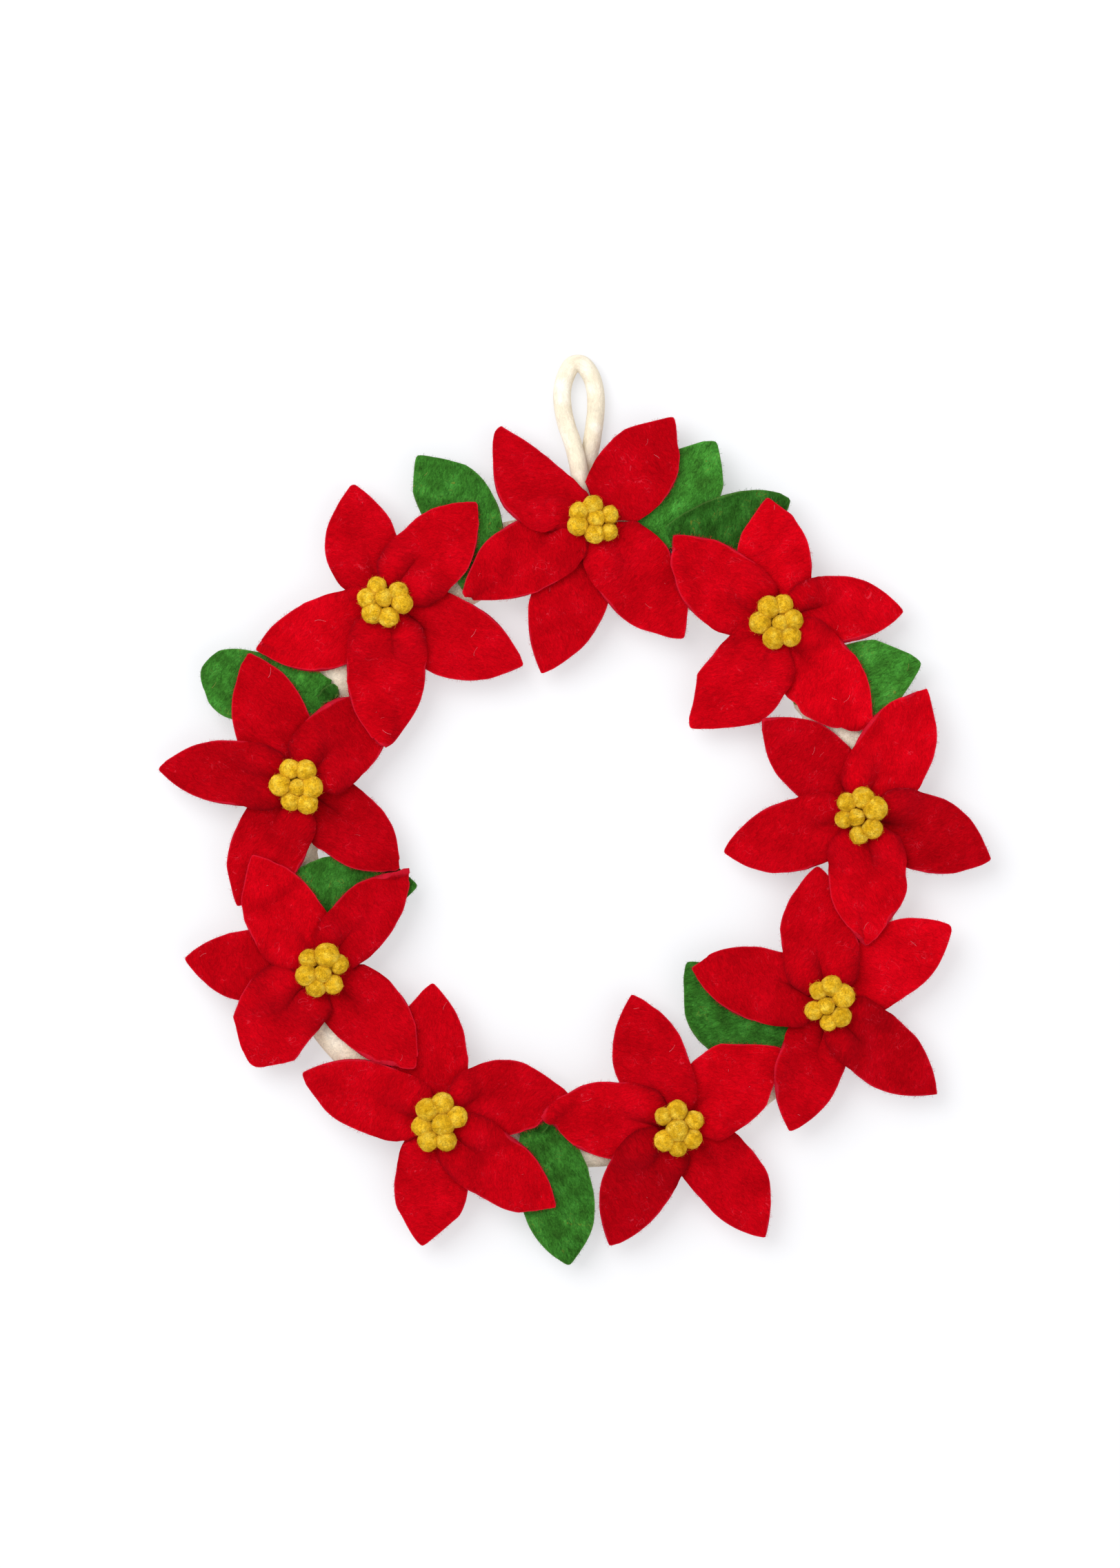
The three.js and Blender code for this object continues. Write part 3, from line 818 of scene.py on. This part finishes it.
def loose_hair(length, thickness, parts=3):
    """One bent fibre, standing on the origin, as a mesh to copy."""
    mesh = bmesh.new()
    bmesh.ops.create_circle(mesh, segments=3, radius=thickness / 2)
    edges = mesh.edges[:]
    for share in np.linspace(0, 1, parts + 1)[1:]:
        fresh, edges = extrude_round(mesh, edges)
        centre = Vector((0.9 * share**2, 0, share)) * length
        now = sum((vert.co for vert in fresh), Vector()) / len(fresh)
        bmesh.ops.translate(mesh, verts=fresh, vec=centre - now)
    bmesh.ops.recalc_face_normals(mesh, faces=mesh.faces)
    data = bpy.data.meshes.new("loose_hair")
    mesh.to_mesh(data)
    mesh.free()
    return data


def standing(way, luck):
    """The turn that stands a fibre up the way given, and spins it by chance."""
    return way.to_track_quat("Z", "X").to_matrix() @ Matrix.Rotation(luck.uniform(0, 6.3), 3, "Z")


def plant(mesh, layers, hair, root, turn, size, tone, rim=0.0, shift=(0, 0, 0)):
    """Adds a copy of a fibre to a mesh, on its root. The shift moves its place in the wool's pattern."""
    start = len(mesh.verts)
    mesh.from_mesh(hair)
    mesh.verts.ensure_lookup_table()
    for vert in mesh.verts[start:]:
        spot = turn @ (vert.co * size) + root
        settle(vert, layers, spot, spot + Vector(shift), tone, rim)


def add_edge_fuzz(mesh, layers, top, hair, tone, luck):
    """Fibres that stick out of a sheet's cut edge, and short ones on its face."""
    for side in (0, -1):
        edge = top[:, side]
        inward = top[:, ACROSS // 2] - edge
        steps = np.linalg.norm(np.diff(edge, axis=0), axis=1)
        for row in range(ALONG // 4, len(steps)):
            along = Vector(edge[row + 1] - edge[row]).normalized()
            out = along.cross(Vector((0, 0, 1))).normalized()
            if out.dot(Vector(inward[row])) > 0:
                out = -out
            for _ in range(luck.poisson(steps[row] * EDGE_HAIRS_PER_MM)):
                root = Vector(edge[row] + (edge[row + 1] - edge[row]) * luck.uniform())
                root.z -= luck.uniform(0.1, 1.8)
                way = out + along * luck.normal(0, 0.6) + Vector((0, 0, luck.normal(0.1, 0.35)))
                size = luck.uniform(0.4, 1.3)
                plant(mesh, layers, hair, root, standing(way, luck), size, tone)
    for _ in range(FACE_HAIRS):
        row = luck.integers(ALONG // 4, ALONG - 2)
        column = luck.integers(2, ACROSS - 2)
        way = Vector((luck.normal(), luck.normal(), 0.35))
        root = Vector(top[row, column]) - Vector((0, 0, 0.15))
        size = luck.uniform(0.6, 1.6)
        # The short fibres on the face are drawn lighter than the felt: painted highlight where they catch
        # the light.
        plant(mesh, layers, hair, root, standing(way, luck), size, tone * 1.15)


def add_strays(mesh, layers, top, hair, count, luck):
    """A few long pale fibres that lie loosely on a sheet."""
    for _ in range(count):
        row = luck.integers(ALONG // 3, ALONG - 6)
        column = luck.integers(4, ACROSS - 4)
        way = Vector((luck.normal(), luck.normal(), luck.uniform(0.0, 0.12)))
        root = Vector(top[row, column]) + Vector((0, 0, 0.1))
        size = luck.uniform(0.35, 1.2)
        plant(mesh, layers, hair, root, standing(way, luck), size, 1.0, NO_EDGE)


def add_loose_wool(name, sheets, slot, node, colour, seed):
    """Makes the fuzz and the stray fibres of some sheets, as two pieces of their own."""
    luck = chance(seed)
    edge_hair = loose_hair(*EDGE_HAIR)
    stray_hair = loose_hair(*STRAY_HAIR, parts=7)
    fuzz, strays = bmesh.new(), bmesh.new()
    fuzz_layers, stray_layers = felt_layers(fuzz), felt_layers(strays)
    for top, tone in sheets:
        add_edge_fuzz(fuzz, fuzz_layers, top, edge_hair, tone, luck)
        add_strays(strays, stray_layers, top, stray_hair, luck.integers(0, STRAY_HAIRS + 1), luck)
    dress(new_piece(f"{name}_fuzz", fuzz), slot, node)
    if strays.verts:
        label = f"loose_fibre_{slot}"
        thread = bpy.data.materials.get(label) or thread_material(label, colour)
        dress(new_piece(f"{name}_stray_fibres", strays), slot, node, thread)
    bpy.data.meshes.remove(edge_hair)
    bpy.data.meshes.remove(stray_hair)


# The hanging loop

LOOP_STEPS = 150
LOOP_SIDES = 20
CORD_LUMP = 0.02
CORD_LUMP_LENGTH = 6


def smooth_route(stops, count):
    """Points along a centripetal Catmull-Rom curve through the stops."""
    knots = [np.array(stop, float) for stop in stops]
    knots = [2 * knots[0] - knots[1], *knots, 2 * knots[-1] - knots[-2]]
    points = []
    for share in np.linspace(0, len(stops) - 1, count):
        part = min(int(share), len(stops) - 2)
        before, start, end, after = knots[part:part + 4]
        gaps = [np.linalg.norm(b - a) ** 0.5 for a, b in ((before, start), (start, end), (end, after))]
        out = (start - before) / gaps[0] - (end - before) / (gaps[0] + gaps[1]) + (end - start) / gaps[1]
        into = (end - start) / gaps[1] - (after - start) / (gaps[1] + gaps[2]) + (after - end) / gaps[2]
        out, into = out * gaps[1], into * gaps[1]
        t = share - part
        cubic = 2 * start - 2 * end + out + into
        square = -3 * start + 3 * end - 2 * out - into
        points.append(start + out * t + square * t**2 + cubic * t**3)
    return np.array(points)


class WREATH_OT_hanging_loop(bpy.types.Operator):
    """Lays the felted cord that the wreath hangs by, in one loop at the top"""

    bl_idname = "wreath.hanging_loop"
    bl_label = "Hanging loop"

    def execute(self, context):
        sizes = context.scene.wreath_sizes
        radius = sizes.cord / 2 / MM
        route = smooth_route(LOOP_ROUTE, LOOP_STEPS + 1)
        mesh = bmesh.new()
        layers = felt_layers(mesh)
        made = bmesh.ops.create_circle(mesh, cap_ends=True, segments=LOOP_SIDES, radius=radius)
        base = [vert.co.copy() for vert in made["verts"]]
        ring_verts = made["verts"]
        ring_edges = list({edge for vert in ring_verts for edge in vert.link_edges})
        side_way = Vector((1, 0, 0))
        gone = 0.0
        for step, point in enumerate(route):
            ahead = route[min(step + 1, LOOP_STEPS)] - route[max(step - 1, 0)]
            forward = Vector(ahead).normalized()
            side_way = (side_way - forward * side_way.dot(forward)).normalized()
            up_way = forward.cross(side_way)
            if step:
                gone += float(np.linalg.norm(route[step] - route[step - 1]))
                ring_verts, ring_edges = extrude_round(mesh, ring_edges)
            for vert, corner in zip(ring_verts, base):
                turn = math.atan2(corner.y, corner.x)
                lump = noise.noise(Vector((gone / CORD_LUMP_LENGTH, math.cos(turn), math.sin(turn))))
                out = (side_way * corner.x + up_way * corner.y) * (1 + CORD_LUMP * lump)
                settle(vert, layers, Vector(point) + out, Vector((gone, corner.x, corner.y)), 1.0)
        bmesh.ops.contextual_create(mesh, geom=ring_edges)
        bmesh.ops.recalc_face_normals(mesh, faces=mesh.faces)
        piece = new_piece("hanging_loop_cord", mesh)
        dress(piece, "cream_cord", "hanging_loop")
        for turn in np.linspace(0, 2 * np.pi, 24, endpoint=False):
            for offset in radius * np.linspace(-1, 1, 9):
                high = route[:, 2] + np.sqrt(max(0, radius**2 - offset**2))
                bed.lay(route[:, 0] + offset * np.cos(turn), route[:, 1] + offset * np.sin(turn), high)
        return {"FINISHED"}


# The padded ring

RING_SIDES = 36
RING_TURNS = 288
# How high the ring is widest, as a share of its height, and how round its crown and sole are.
WIDEST_HEIGHT = 0.42
CROWN_ROUNDNESS = 0.8
SOLE_ROUNDNESS = 0.6
SOLE_FLATNESS = 1.35
SOLE_DRAW_IN = 0.1
PUCKERS_ROUND = 96
PUCKER_HEIGHT = 0.45
PADDING_LUMP = 0.6
PADDING_LUMP_LENGTH = 18


class WREATH_OT_padded_ring(bpy.types.Operator):
    """Makes the padded cream felt ring that carries everything"""

    bl_idname = "wreath.padded_ring"
    bl_label = "Padded ring"

    def execute(self, context):
        sizes = context.scene.wreath_sizes
        inner, outer = sizes.ring_inner / MM, sizes.ring_outer / MM
        height = sizes.ring_height / MM
        middle, half = (inner + outer) / 2, (outer - inner) / 2
        side_height = WIDEST_HEIGHT * height
        crown_height = height - side_height
        mesh = bmesh.new()
        made = bmesh.ops.create_circle(mesh, segments=RING_SIDES, radius=1)
        upright = Matrix.Rotation(math.pi / 2, 3, "X")
        bmesh.ops.rotate(mesh, verts=made["verts"], cent=(0, 0, 0), matrix=upright)
        for vert in made["verts"]:
            turn = math.atan2(vert.co.z, vert.co.x)
            up, down = max(0, math.sin(turn)), max(0, -math.sin(turn))
            crown = side_height + crown_height * up**CROWN_ROUNDNESS
            sole = side_height - side_height * min(1, down * SOLE_FLATNESS) ** SOLE_ROUNDNESS
            out = middle + half * math.cos(turn) * (1 - SOLE_DRAW_IN * down)
            vert.co = Vector((out, 0, crown if up else sole))
        bmesh.ops.spin(
            mesh,
            geom=mesh.verts[:] + mesh.edges[:],
            cent=(0, 0, 0),
            axis=(0, 0, 1),
            dvec=(0, 0, 0),
            angle=2 * math.pi,
            steps=RING_TURNS,
            use_merge=True,
        )
        bmesh.ops.remove_doubles(mesh, verts=mesh.verts, dist=0.01)
        bmesh.ops.recalc_face_normals(mesh, faces=mesh.faces)
        layers = felt_layers(mesh)
        for vert in mesh.verts:
            smooth = vert.co.copy()
            angle = math.atan2(smooth.y, smooth.x)
            off = (math.hypot(smooth.x, smooth.y) - middle) / half
            # The felt is drawn together at the inner side, so it puckers there.
            drawn = math.sin(PUCKERS_ROUND * angle + 2 * noise.noise(smooth / 25))
            pucker = PUCKER_HEIGHT * drawn * max(0, -off) ** 2
            lump = PADDING_LUMP * noise.noise(smooth / PADDING_LUMP_LENGTH) * min(1, smooth.z / 4)
            away = Vector((math.cos(angle), math.sin(angle), 0)) * off
            spot = smooth + away * (lump + pucker) + Vector((0, 0, lump * 0.4))
            spot.z = max(0, spot.z)
            settle(vert, layers, spot, smooth, 1.0)
        piece = new_piece("padded_ring", mesh)
        dress(piece, "cream_felt", "ring")
        radii = np.arange(inner, outer, Bed.cell / 2)
        crown_share = np.sqrt(1 - ((radii - middle) / half) ** 2)
        heights = side_height + crown_height * crown_share**CROWN_ROUNDNESS
        for angle in np.arange(0, 2 * np.pi, Bed.cell / 2 / outer):
            bed.lay(radii * math.cos(angle), radii * math.sin(angle), heights)
        return {"FINISHED"}


# The leaves

# How fast a leaf opens from its foot.
LEAF_WEDGE = (0.5, 0.05)
LEAF_WAVE = 1.2
TUFT_WAVE = 1.6
TUFT_LIFT = 0.6


class WREATH_OT_leaves(bpy.types.Operator):
    """Lays the eight green felt leaves on the ring"""

    bl_idname = "wreath.leaves"
    bl_label = "Leaves"

    def execute(self, context):
        sizes = context.scene.wreath_sizes
        for number, leaf in enumerate(LEAVES, 1):
            luck = chance(400 + number)
            form = Form(
                seed=300 + 9 * number,
                tone=leaf.tone,
                wedge=(leaf.foot, *LEAF_WEDGE),
                wave=LEAF_WAVE,
                cup=luck.uniform(-0.8, 0.8),
                ripple=luck.uniform(0.3, 0.9),
                phase=luck.uniform(0, 1),
            )
            node = f"leaf_{number}"
            cut = Cut(*leaf[1:-1], 0.0)
            piece, area, top = sheet_of_felt(f"{node}_felt", cut, form, sizes.leaf_felt, sizes)
            dress(piece, "green_felt", node)
            add_loose_wool(node, [(top, leaf.tone)], "green_felt", node, STRAY_STRAW, 700 + number)
        for number, tuft in LEAF_TUFTS:
            wedge = (tuft.foot, *LEAF_WEDGE)
            form = Form(480 + number, tuft.tone, wedge, TUFT_WAVE, 0.5, 0.5, 0.3, TUFT_LIFT)
            node = f"leaf_{number}"
            name = f"{node}_foot"
            piece, _, top = sheet_of_felt(name, Cut(*tuft[1:-1], 0.0), form, sizes.leaf_felt, sizes)
            dress(piece, "green_felt", node)
            # A tuft is fuzzier than a leaf, so it gets its loose wool twice.
            sheets = [(top, tuft.tone)] * 2
            add_loose_wool(name, sheets, "green_felt", node, STRAY_STRAW, 720 + number)
        return {"FINISHED"}


# The poinsettias

# Where along its length a petal starts, and how it opens there.
PETAL_START = 0.1
BASE_WEDGE = (2.4, 0.78, 0.14)
PETAL_PINCH = 2.6
PETAL_WAVE = 1.5
# The wad that the petals are sewn to, how far it lies below them, and how much darker it is drawn, as
# painted shade between the balls.
SEWN_RADIUS = 8.5
SEWN_FLATNESS = 0.4
SEWN_DEPTH = 0.5
SEWN_PAINTED_SHADE = 0.7


def sewn_middle(node, flower):
    """The wad that five petals are sewn to, which shows only between the balls and is drawn darker there as
    painted shade.
    """
    turns = np.linspace(0, 2 * np.pi, 24, endpoint=False)
    round_it = bed.at(flower.x + SEWN_RADIUS * np.cos(turns), flower.y + SEWN_RADIUS * np.sin(turns))
    height = float(np.mean(round_it)) - SEWN_DEPTH - SEWN_RADIUS * SEWN_FLATNESS
    mesh = bmesh.new()
    layers = felt_layers(mesh)
    bmesh.ops.create_icosphere(mesh, subdivisions=3, radius=SEWN_RADIUS)
    for vert in mesh.verts:
        spot = Vector((vert.co.x, vert.co.y, vert.co.z * SEWN_FLATNESS))
        spot += Vector((flower.x, flower.y, height))
        # The wad is drawn darker: painted shade between the balls.
        settle(vert, layers, spot, spot, SEWN_PAINTED_SHADE)
    return new_piece(f"{node}_middle", mesh)


class WREATH_OT_petals(bpy.types.Operator):
    """Lays the nine poinsettias, petal by petal"""

    bl_idname = "wreath.petals"
    bl_label = "Poinsettia petals"

    def execute(self, context):
        sizes = context.scene.wreath_sizes
        if not bed.high.any():
            self.report({"ERROR"}, "Make the padded ring before the petals")
            raise RuntimeError("the petals have nothing to lie on: make the padded ring first")
        for number, flower in enumerate(FLOWERS.values(), 1):
            node = f"flower_{number}"
            order = sorted(range(5), key=lambda place: (flower.petals[place].layer, place))
            sheets = []
            for place in order:
                petal = flower.petals[place]
                luck = chance(100 * number + place)
                shape = (petal.angle, petal.length, petal.width, petal.lean, petal.tip, petal.blunt)
                cut = Cut(flower.x, flower.y, *shape, PETAL_START)
                form = Form(
                    seed=50 * number + 9 * place,
                    tone=petal.tone,
                    wedge=BASE_WEDGE,
                    wave=PETAL_WAVE,
                    cup=luck.uniform(-0.6, 1.0),
                    ripple=luck.uniform(0.2, 0.8),
                    phase=luck.uniform(0, 1),
                    lift=petal.lift,
                    pinch=PETAL_PINCH,
                    pleat=petal.pleat,
                    fold_at=luck.uniform(-0.3, 0.3),
                )
                name = f"{node}_petal_{place + 1}"
                piece, area, top = sheet_of_felt(name, cut, form, sizes.petal_felt, sizes)
                dress(piece, "red_felt", node)
                sheets.append((top, petal.tone))
            add_loose_wool(node, sheets, "red_felt", node, STRAY_RED, 600 + number)
            dress(sewn_middle(node, flower), "red_felt", node)
        return {"FINISHED"}


# The hearts

BALL_PRESS = 0.7
USUAL_BALL = 8.2
BALL_CLOSENESS = 0.89
# How far below the others a ball may sink, and how far above them the middle one stands.
DEEPEST_BALL = 1.5
MIDDLE_BALL_RISE = 0.4
BALL_FUZZ = 110
BALL_HAIR = (1.3, 0.07)


def seat_of(x, y, radius):
    """The height of a ball's middle when it rests on the bed."""
    steps = np.arange(-radius, radius + 0.01, 0.5)
    dx, dy = np.meshgrid(steps, steps)
    inside = dx**2 + dy**2 < (radius * 0.98) ** 2
    rise = np.sqrt(np.maximum(0, radius**2 - dx**2 - dy**2))
    return float(np.max((bed.at(x + dx, y + dy) + rise)[inside]))


class WREATH_OT_hearts(bpy.types.Operator):
    """Puts a heart of seven felted wool balls on each poinsettia"""

    bl_idname = "wreath.hearts"
    bl_label = "Hearts of wool balls"

    def execute(self, context):
        scale = context.scene.wreath_sizes.ball / MM / USUAL_BALL
        hair = loose_hair(*BALL_HAIR)
        for number, (name, (outer, inner)) in enumerate(HEARTS.items(), 1):
            flower = FLOWERS[name]
            luck = chance(900 + number)
            balls = [Ball(angle, away * BALL_CLOSENESS, width * scale) for angle, away, width in outer]
            balls.append(inner)
            spots = []
            for ball in balls:
                turn = math.radians(ball.angle)
                x = flower.x + ball.distance * math.cos(turn)
                y = flower.y + ball.distance * math.sin(turn)
                spots.append(Vector((x, y, seat_of(x, y, ball.diameter / 2))))
            common = sorted(spot.z for spot in spots)[-2]
            mesh = bmesh.new()
            layers = felt_layers(mesh)
            for ball, spot in zip(balls, spots):
                spot.z = max(min(spot.z, common), common - DEEPEST_BALL) - BALL_PRESS
                if ball is inner:
                    spot.z = common - BALL_PRESS + MIDDLE_BALL_RISE
                add_ball(mesh, layers, spot, ball.diameter / 2, hair, luck)
            dress(new_piece(f"heart_{number}_balls", mesh), "mustard_wool", f"heart_{number}")
        bpy.data.meshes.remove(hair)
        return {"FINISHED"}


def add_ball(mesh, layers, centre, radius, hair, luck):
    """Adds one felted wool ball with its fuzz to a heart."""
    seed = Vector(luck.uniform(0, 100, 3))
    shade = luck.uniform(0.93, 1.05)
    squash = luck.uniform(0.94, 1.0)
    made = bmesh.ops.create_icosphere(mesh, subdivisions=4, radius=radius)
    for vert in made["verts"]:
        way = vert.co.normalized()
        lump = 0.35 * noise.noise(way * 1.4 + seed) + 0.12 * noise.noise(way * 5 + seed)
        spot = way * (radius + lump)
        spot.z *= squash
        settle(vert, layers, spot + centre, vert.co + seed * 3, shade)
    for _ in range(BALL_FUZZ):
        way = Vector(luck.normal(size=3)).normalized()
        # No fuzz on the side that lies on the petals.
        if way.z < -0.3:
            continue
        turn = standing(way, luck) @ Matrix.Rotation(luck.uniform(0.3, 1.2), 3, "Y")
        size = luck.uniform(0.5, 1.2)
        root = centre + way * radius * 0.99
        # The fuzz is drawn lighter than the ball: painted highlight where it catches the light.
        plant(mesh, layers, hair, root, turn, size, shade * 1.2, NO_EDGE, seed * 3 - centre)


# The stage

PIXELS_WIDE = 1624
PIXELS_HIGH = 2274
PIXELS_PER_MM = 3.4
RING_PIXEL = (834.5, 1219.5)
LENS = 135
SENSOR = 36
LOOK_HEIGHT = 15
PAPER_CLOUD = 60
FLOOR_DEPTH = 0.2
# The floor is a white sweep that glows a little on its own, painted light as if lit from below, so the
# shadows on it stay pale.
FLOOR_GLOW = 0.49
ROOM_LIGHT = 0.74


def add_area_light(name, place, aim, size, energy):
    """Adds one large soft light."""
    data = bpy.data.lights.new(name, "AREA")
    data.shape = "SQUARE"
    data.size = size
    data.energy = energy
    light = bpy.data.objects.new(name, data)
    bpy.context.scene.collection.objects.link(light)
    light.location = place
    light.rotation_mode = "QUATERNION"
    light.rotation_quaternion = (Vector(aim) - Vector(place)).to_track_quat("-Z", "Y")


class WREATH_OT_stage(bpy.types.Operator):
    """Sets up the pale floor, the soft studio light and the camera that looks straight down"""

    bl_idname = "wreath.stage"
    bl_label = "Floor, light and camera"

    def execute(self, context):
        scene = context.scene
        mesh = bmesh.new()
        bmesh.ops.create_grid(mesh, x_segments=1, y_segments=1, size=4)
        bmesh.ops.translate(mesh, verts=mesh.verts, vec=(0, 0, -FLOOR_DEPTH * MM))
        floor = new_piece("floor", mesh)
        paper, tree = empty_material("white_paper_sweep", from_hex("#acadaf"))
        place = add_node(tree, "ShaderNodeTexCoord").outputs["Object"]
        clouds = {"Vector": place, "Scale": per_mm(PAPER_CLOUD), "Detail": 2.0}
        grain = add_node(tree, "ShaderNodeTexNoise", clouds)
        ramp = add_node(tree, "ShaderNodeValToRGB", {"Fac": grain.outputs["Fac"]})
        ramp.color_ramp.elements[0].color = from_hex("#a9aaac")
        ramp.color_ramp.elements[1].color = from_hex("#acadaf")
        shader = add_node(
            tree,
            "ShaderNodeBsdfPrincipled",
            {
                "Base Color": ramp.outputs["Color"],
                "Roughness": 0.9,
                "Specular IOR Level": 0.1,
                # The glow is painted light that keeps the shadows on the floor pale.
                "Emission Color": from_hex("#fdfdff"),
                "Emission Strength": FLOOR_GLOW,
            },
        )
        add_node(tree, "ShaderNodeOutputMaterial", {"Surface": shader.outputs["BSDF"]})
        floor.data.materials.append(paper)

        world = bpy.data.worlds.new("studio")
        world.use_nodes = True
        background = world.node_tree.nodes["Background"]
        background.inputs["Color"].default_value = (1, 1, 1, 1)
        background.inputs["Strength"].default_value = ROOM_LIGHT
        scene.world = world
        add_area_light("key_light", (-0.9, 0.8, 1.6), (0, 0, 0), 1.5, 30)
        add_area_light("fill_light", (1.0, -0.8, 1.7), (0, 0, 0), 1.8, 10)

        # The camera stands over the middle of the photograph's frame.
        x = (PIXELS_WIDE / 2 - RING_PIXEL[0]) / PIXELS_PER_MM + RING_CENTRE[0]
        y = (RING_PIXEL[1] - PIXELS_HIGH / 2) / PIXELS_PER_MM + RING_CENTRE[1]
        distance = PIXELS_HIGH / PIXELS_PER_MM * LENS / SENSOR
        data = bpy.data.cameras.new("camera")
        data.lens = LENS
        data.sensor_width = SENSOR
        data.sensor_fit = "AUTO"
        data.clip_start = 0.05
        data.clip_end = 30
        camera = bpy.data.objects.new("camera", data)
        scene.collection.objects.link(camera)
        camera.location = Vector((x, y, distance + LOOK_HEIGHT)) * MM
        camera.rotation_euler = (0, 0, 0)
        scene.camera = camera
        scene.view_settings.view_transform = "Standard"
        scene.view_settings.look = "None"
        return {"FINISHED"}


class WREATH_PT_panel(bpy.types.Panel):
    """The wreath's pieces, in the order in which they are laid"""

    bl_idname = "WREATH_PT_panel"
    bl_label = "Felt wreath"
    bl_space_type = "VIEW_3D"
    bl_region_type = "UI"
    bl_category = "Wreath"

    def draw(self, context):
        layout = self.layout
        for name in WreathSizes.__annotations__:
            layout.prop(context.scene.wreath_sizes, name)
        for name in WreathColours.__annotations__:
            layout.prop(context.scene.wreath_colours, name)
        for step in STEPS:
            layout.operator(step.bl_idname)


# The order in which the wreath is put together.
STEPS = (
    WREATH_OT_stage,
    WREATH_OT_hanging_loop,
    WREATH_OT_padded_ring,
    WREATH_OT_leaves,
    WREATH_OT_petals,
    WREATH_OT_hearts,
)
CLASSES = (WreathSizes, WreathColours, *STEPS, WREATH_PT_panel)


def register():
    """Registers the properties, the operators and the panel."""
    for entry in CLASSES:
        bpy.utils.register_class(entry)
    bpy.types.Scene.wreath_sizes = PointerProperty(type=WreathSizes)
    bpy.types.Scene.wreath_colours = PointerProperty(type=WreathColours)


def unregister():
    """Takes the properties, the operators and the panel away again."""
    del bpy.types.Scene.wreath_colours
    del bpy.types.Scene.wreath_sizes
    for entry in reversed(CLASSES):
        bpy.utils.unregister_class(entry)


def main():
    """Puts the whole wreath together."""
    register()
    bpy.ops.wreath.stage()
    bpy.ops.wreath.hanging_loop()
    bpy.ops.wreath.padded_ring()
    bpy.ops.wreath.leaves()
    bpy.ops.wreath.petals()
    bpy.ops.wreath.hearts()


if __name__ == "__main__":
    main()
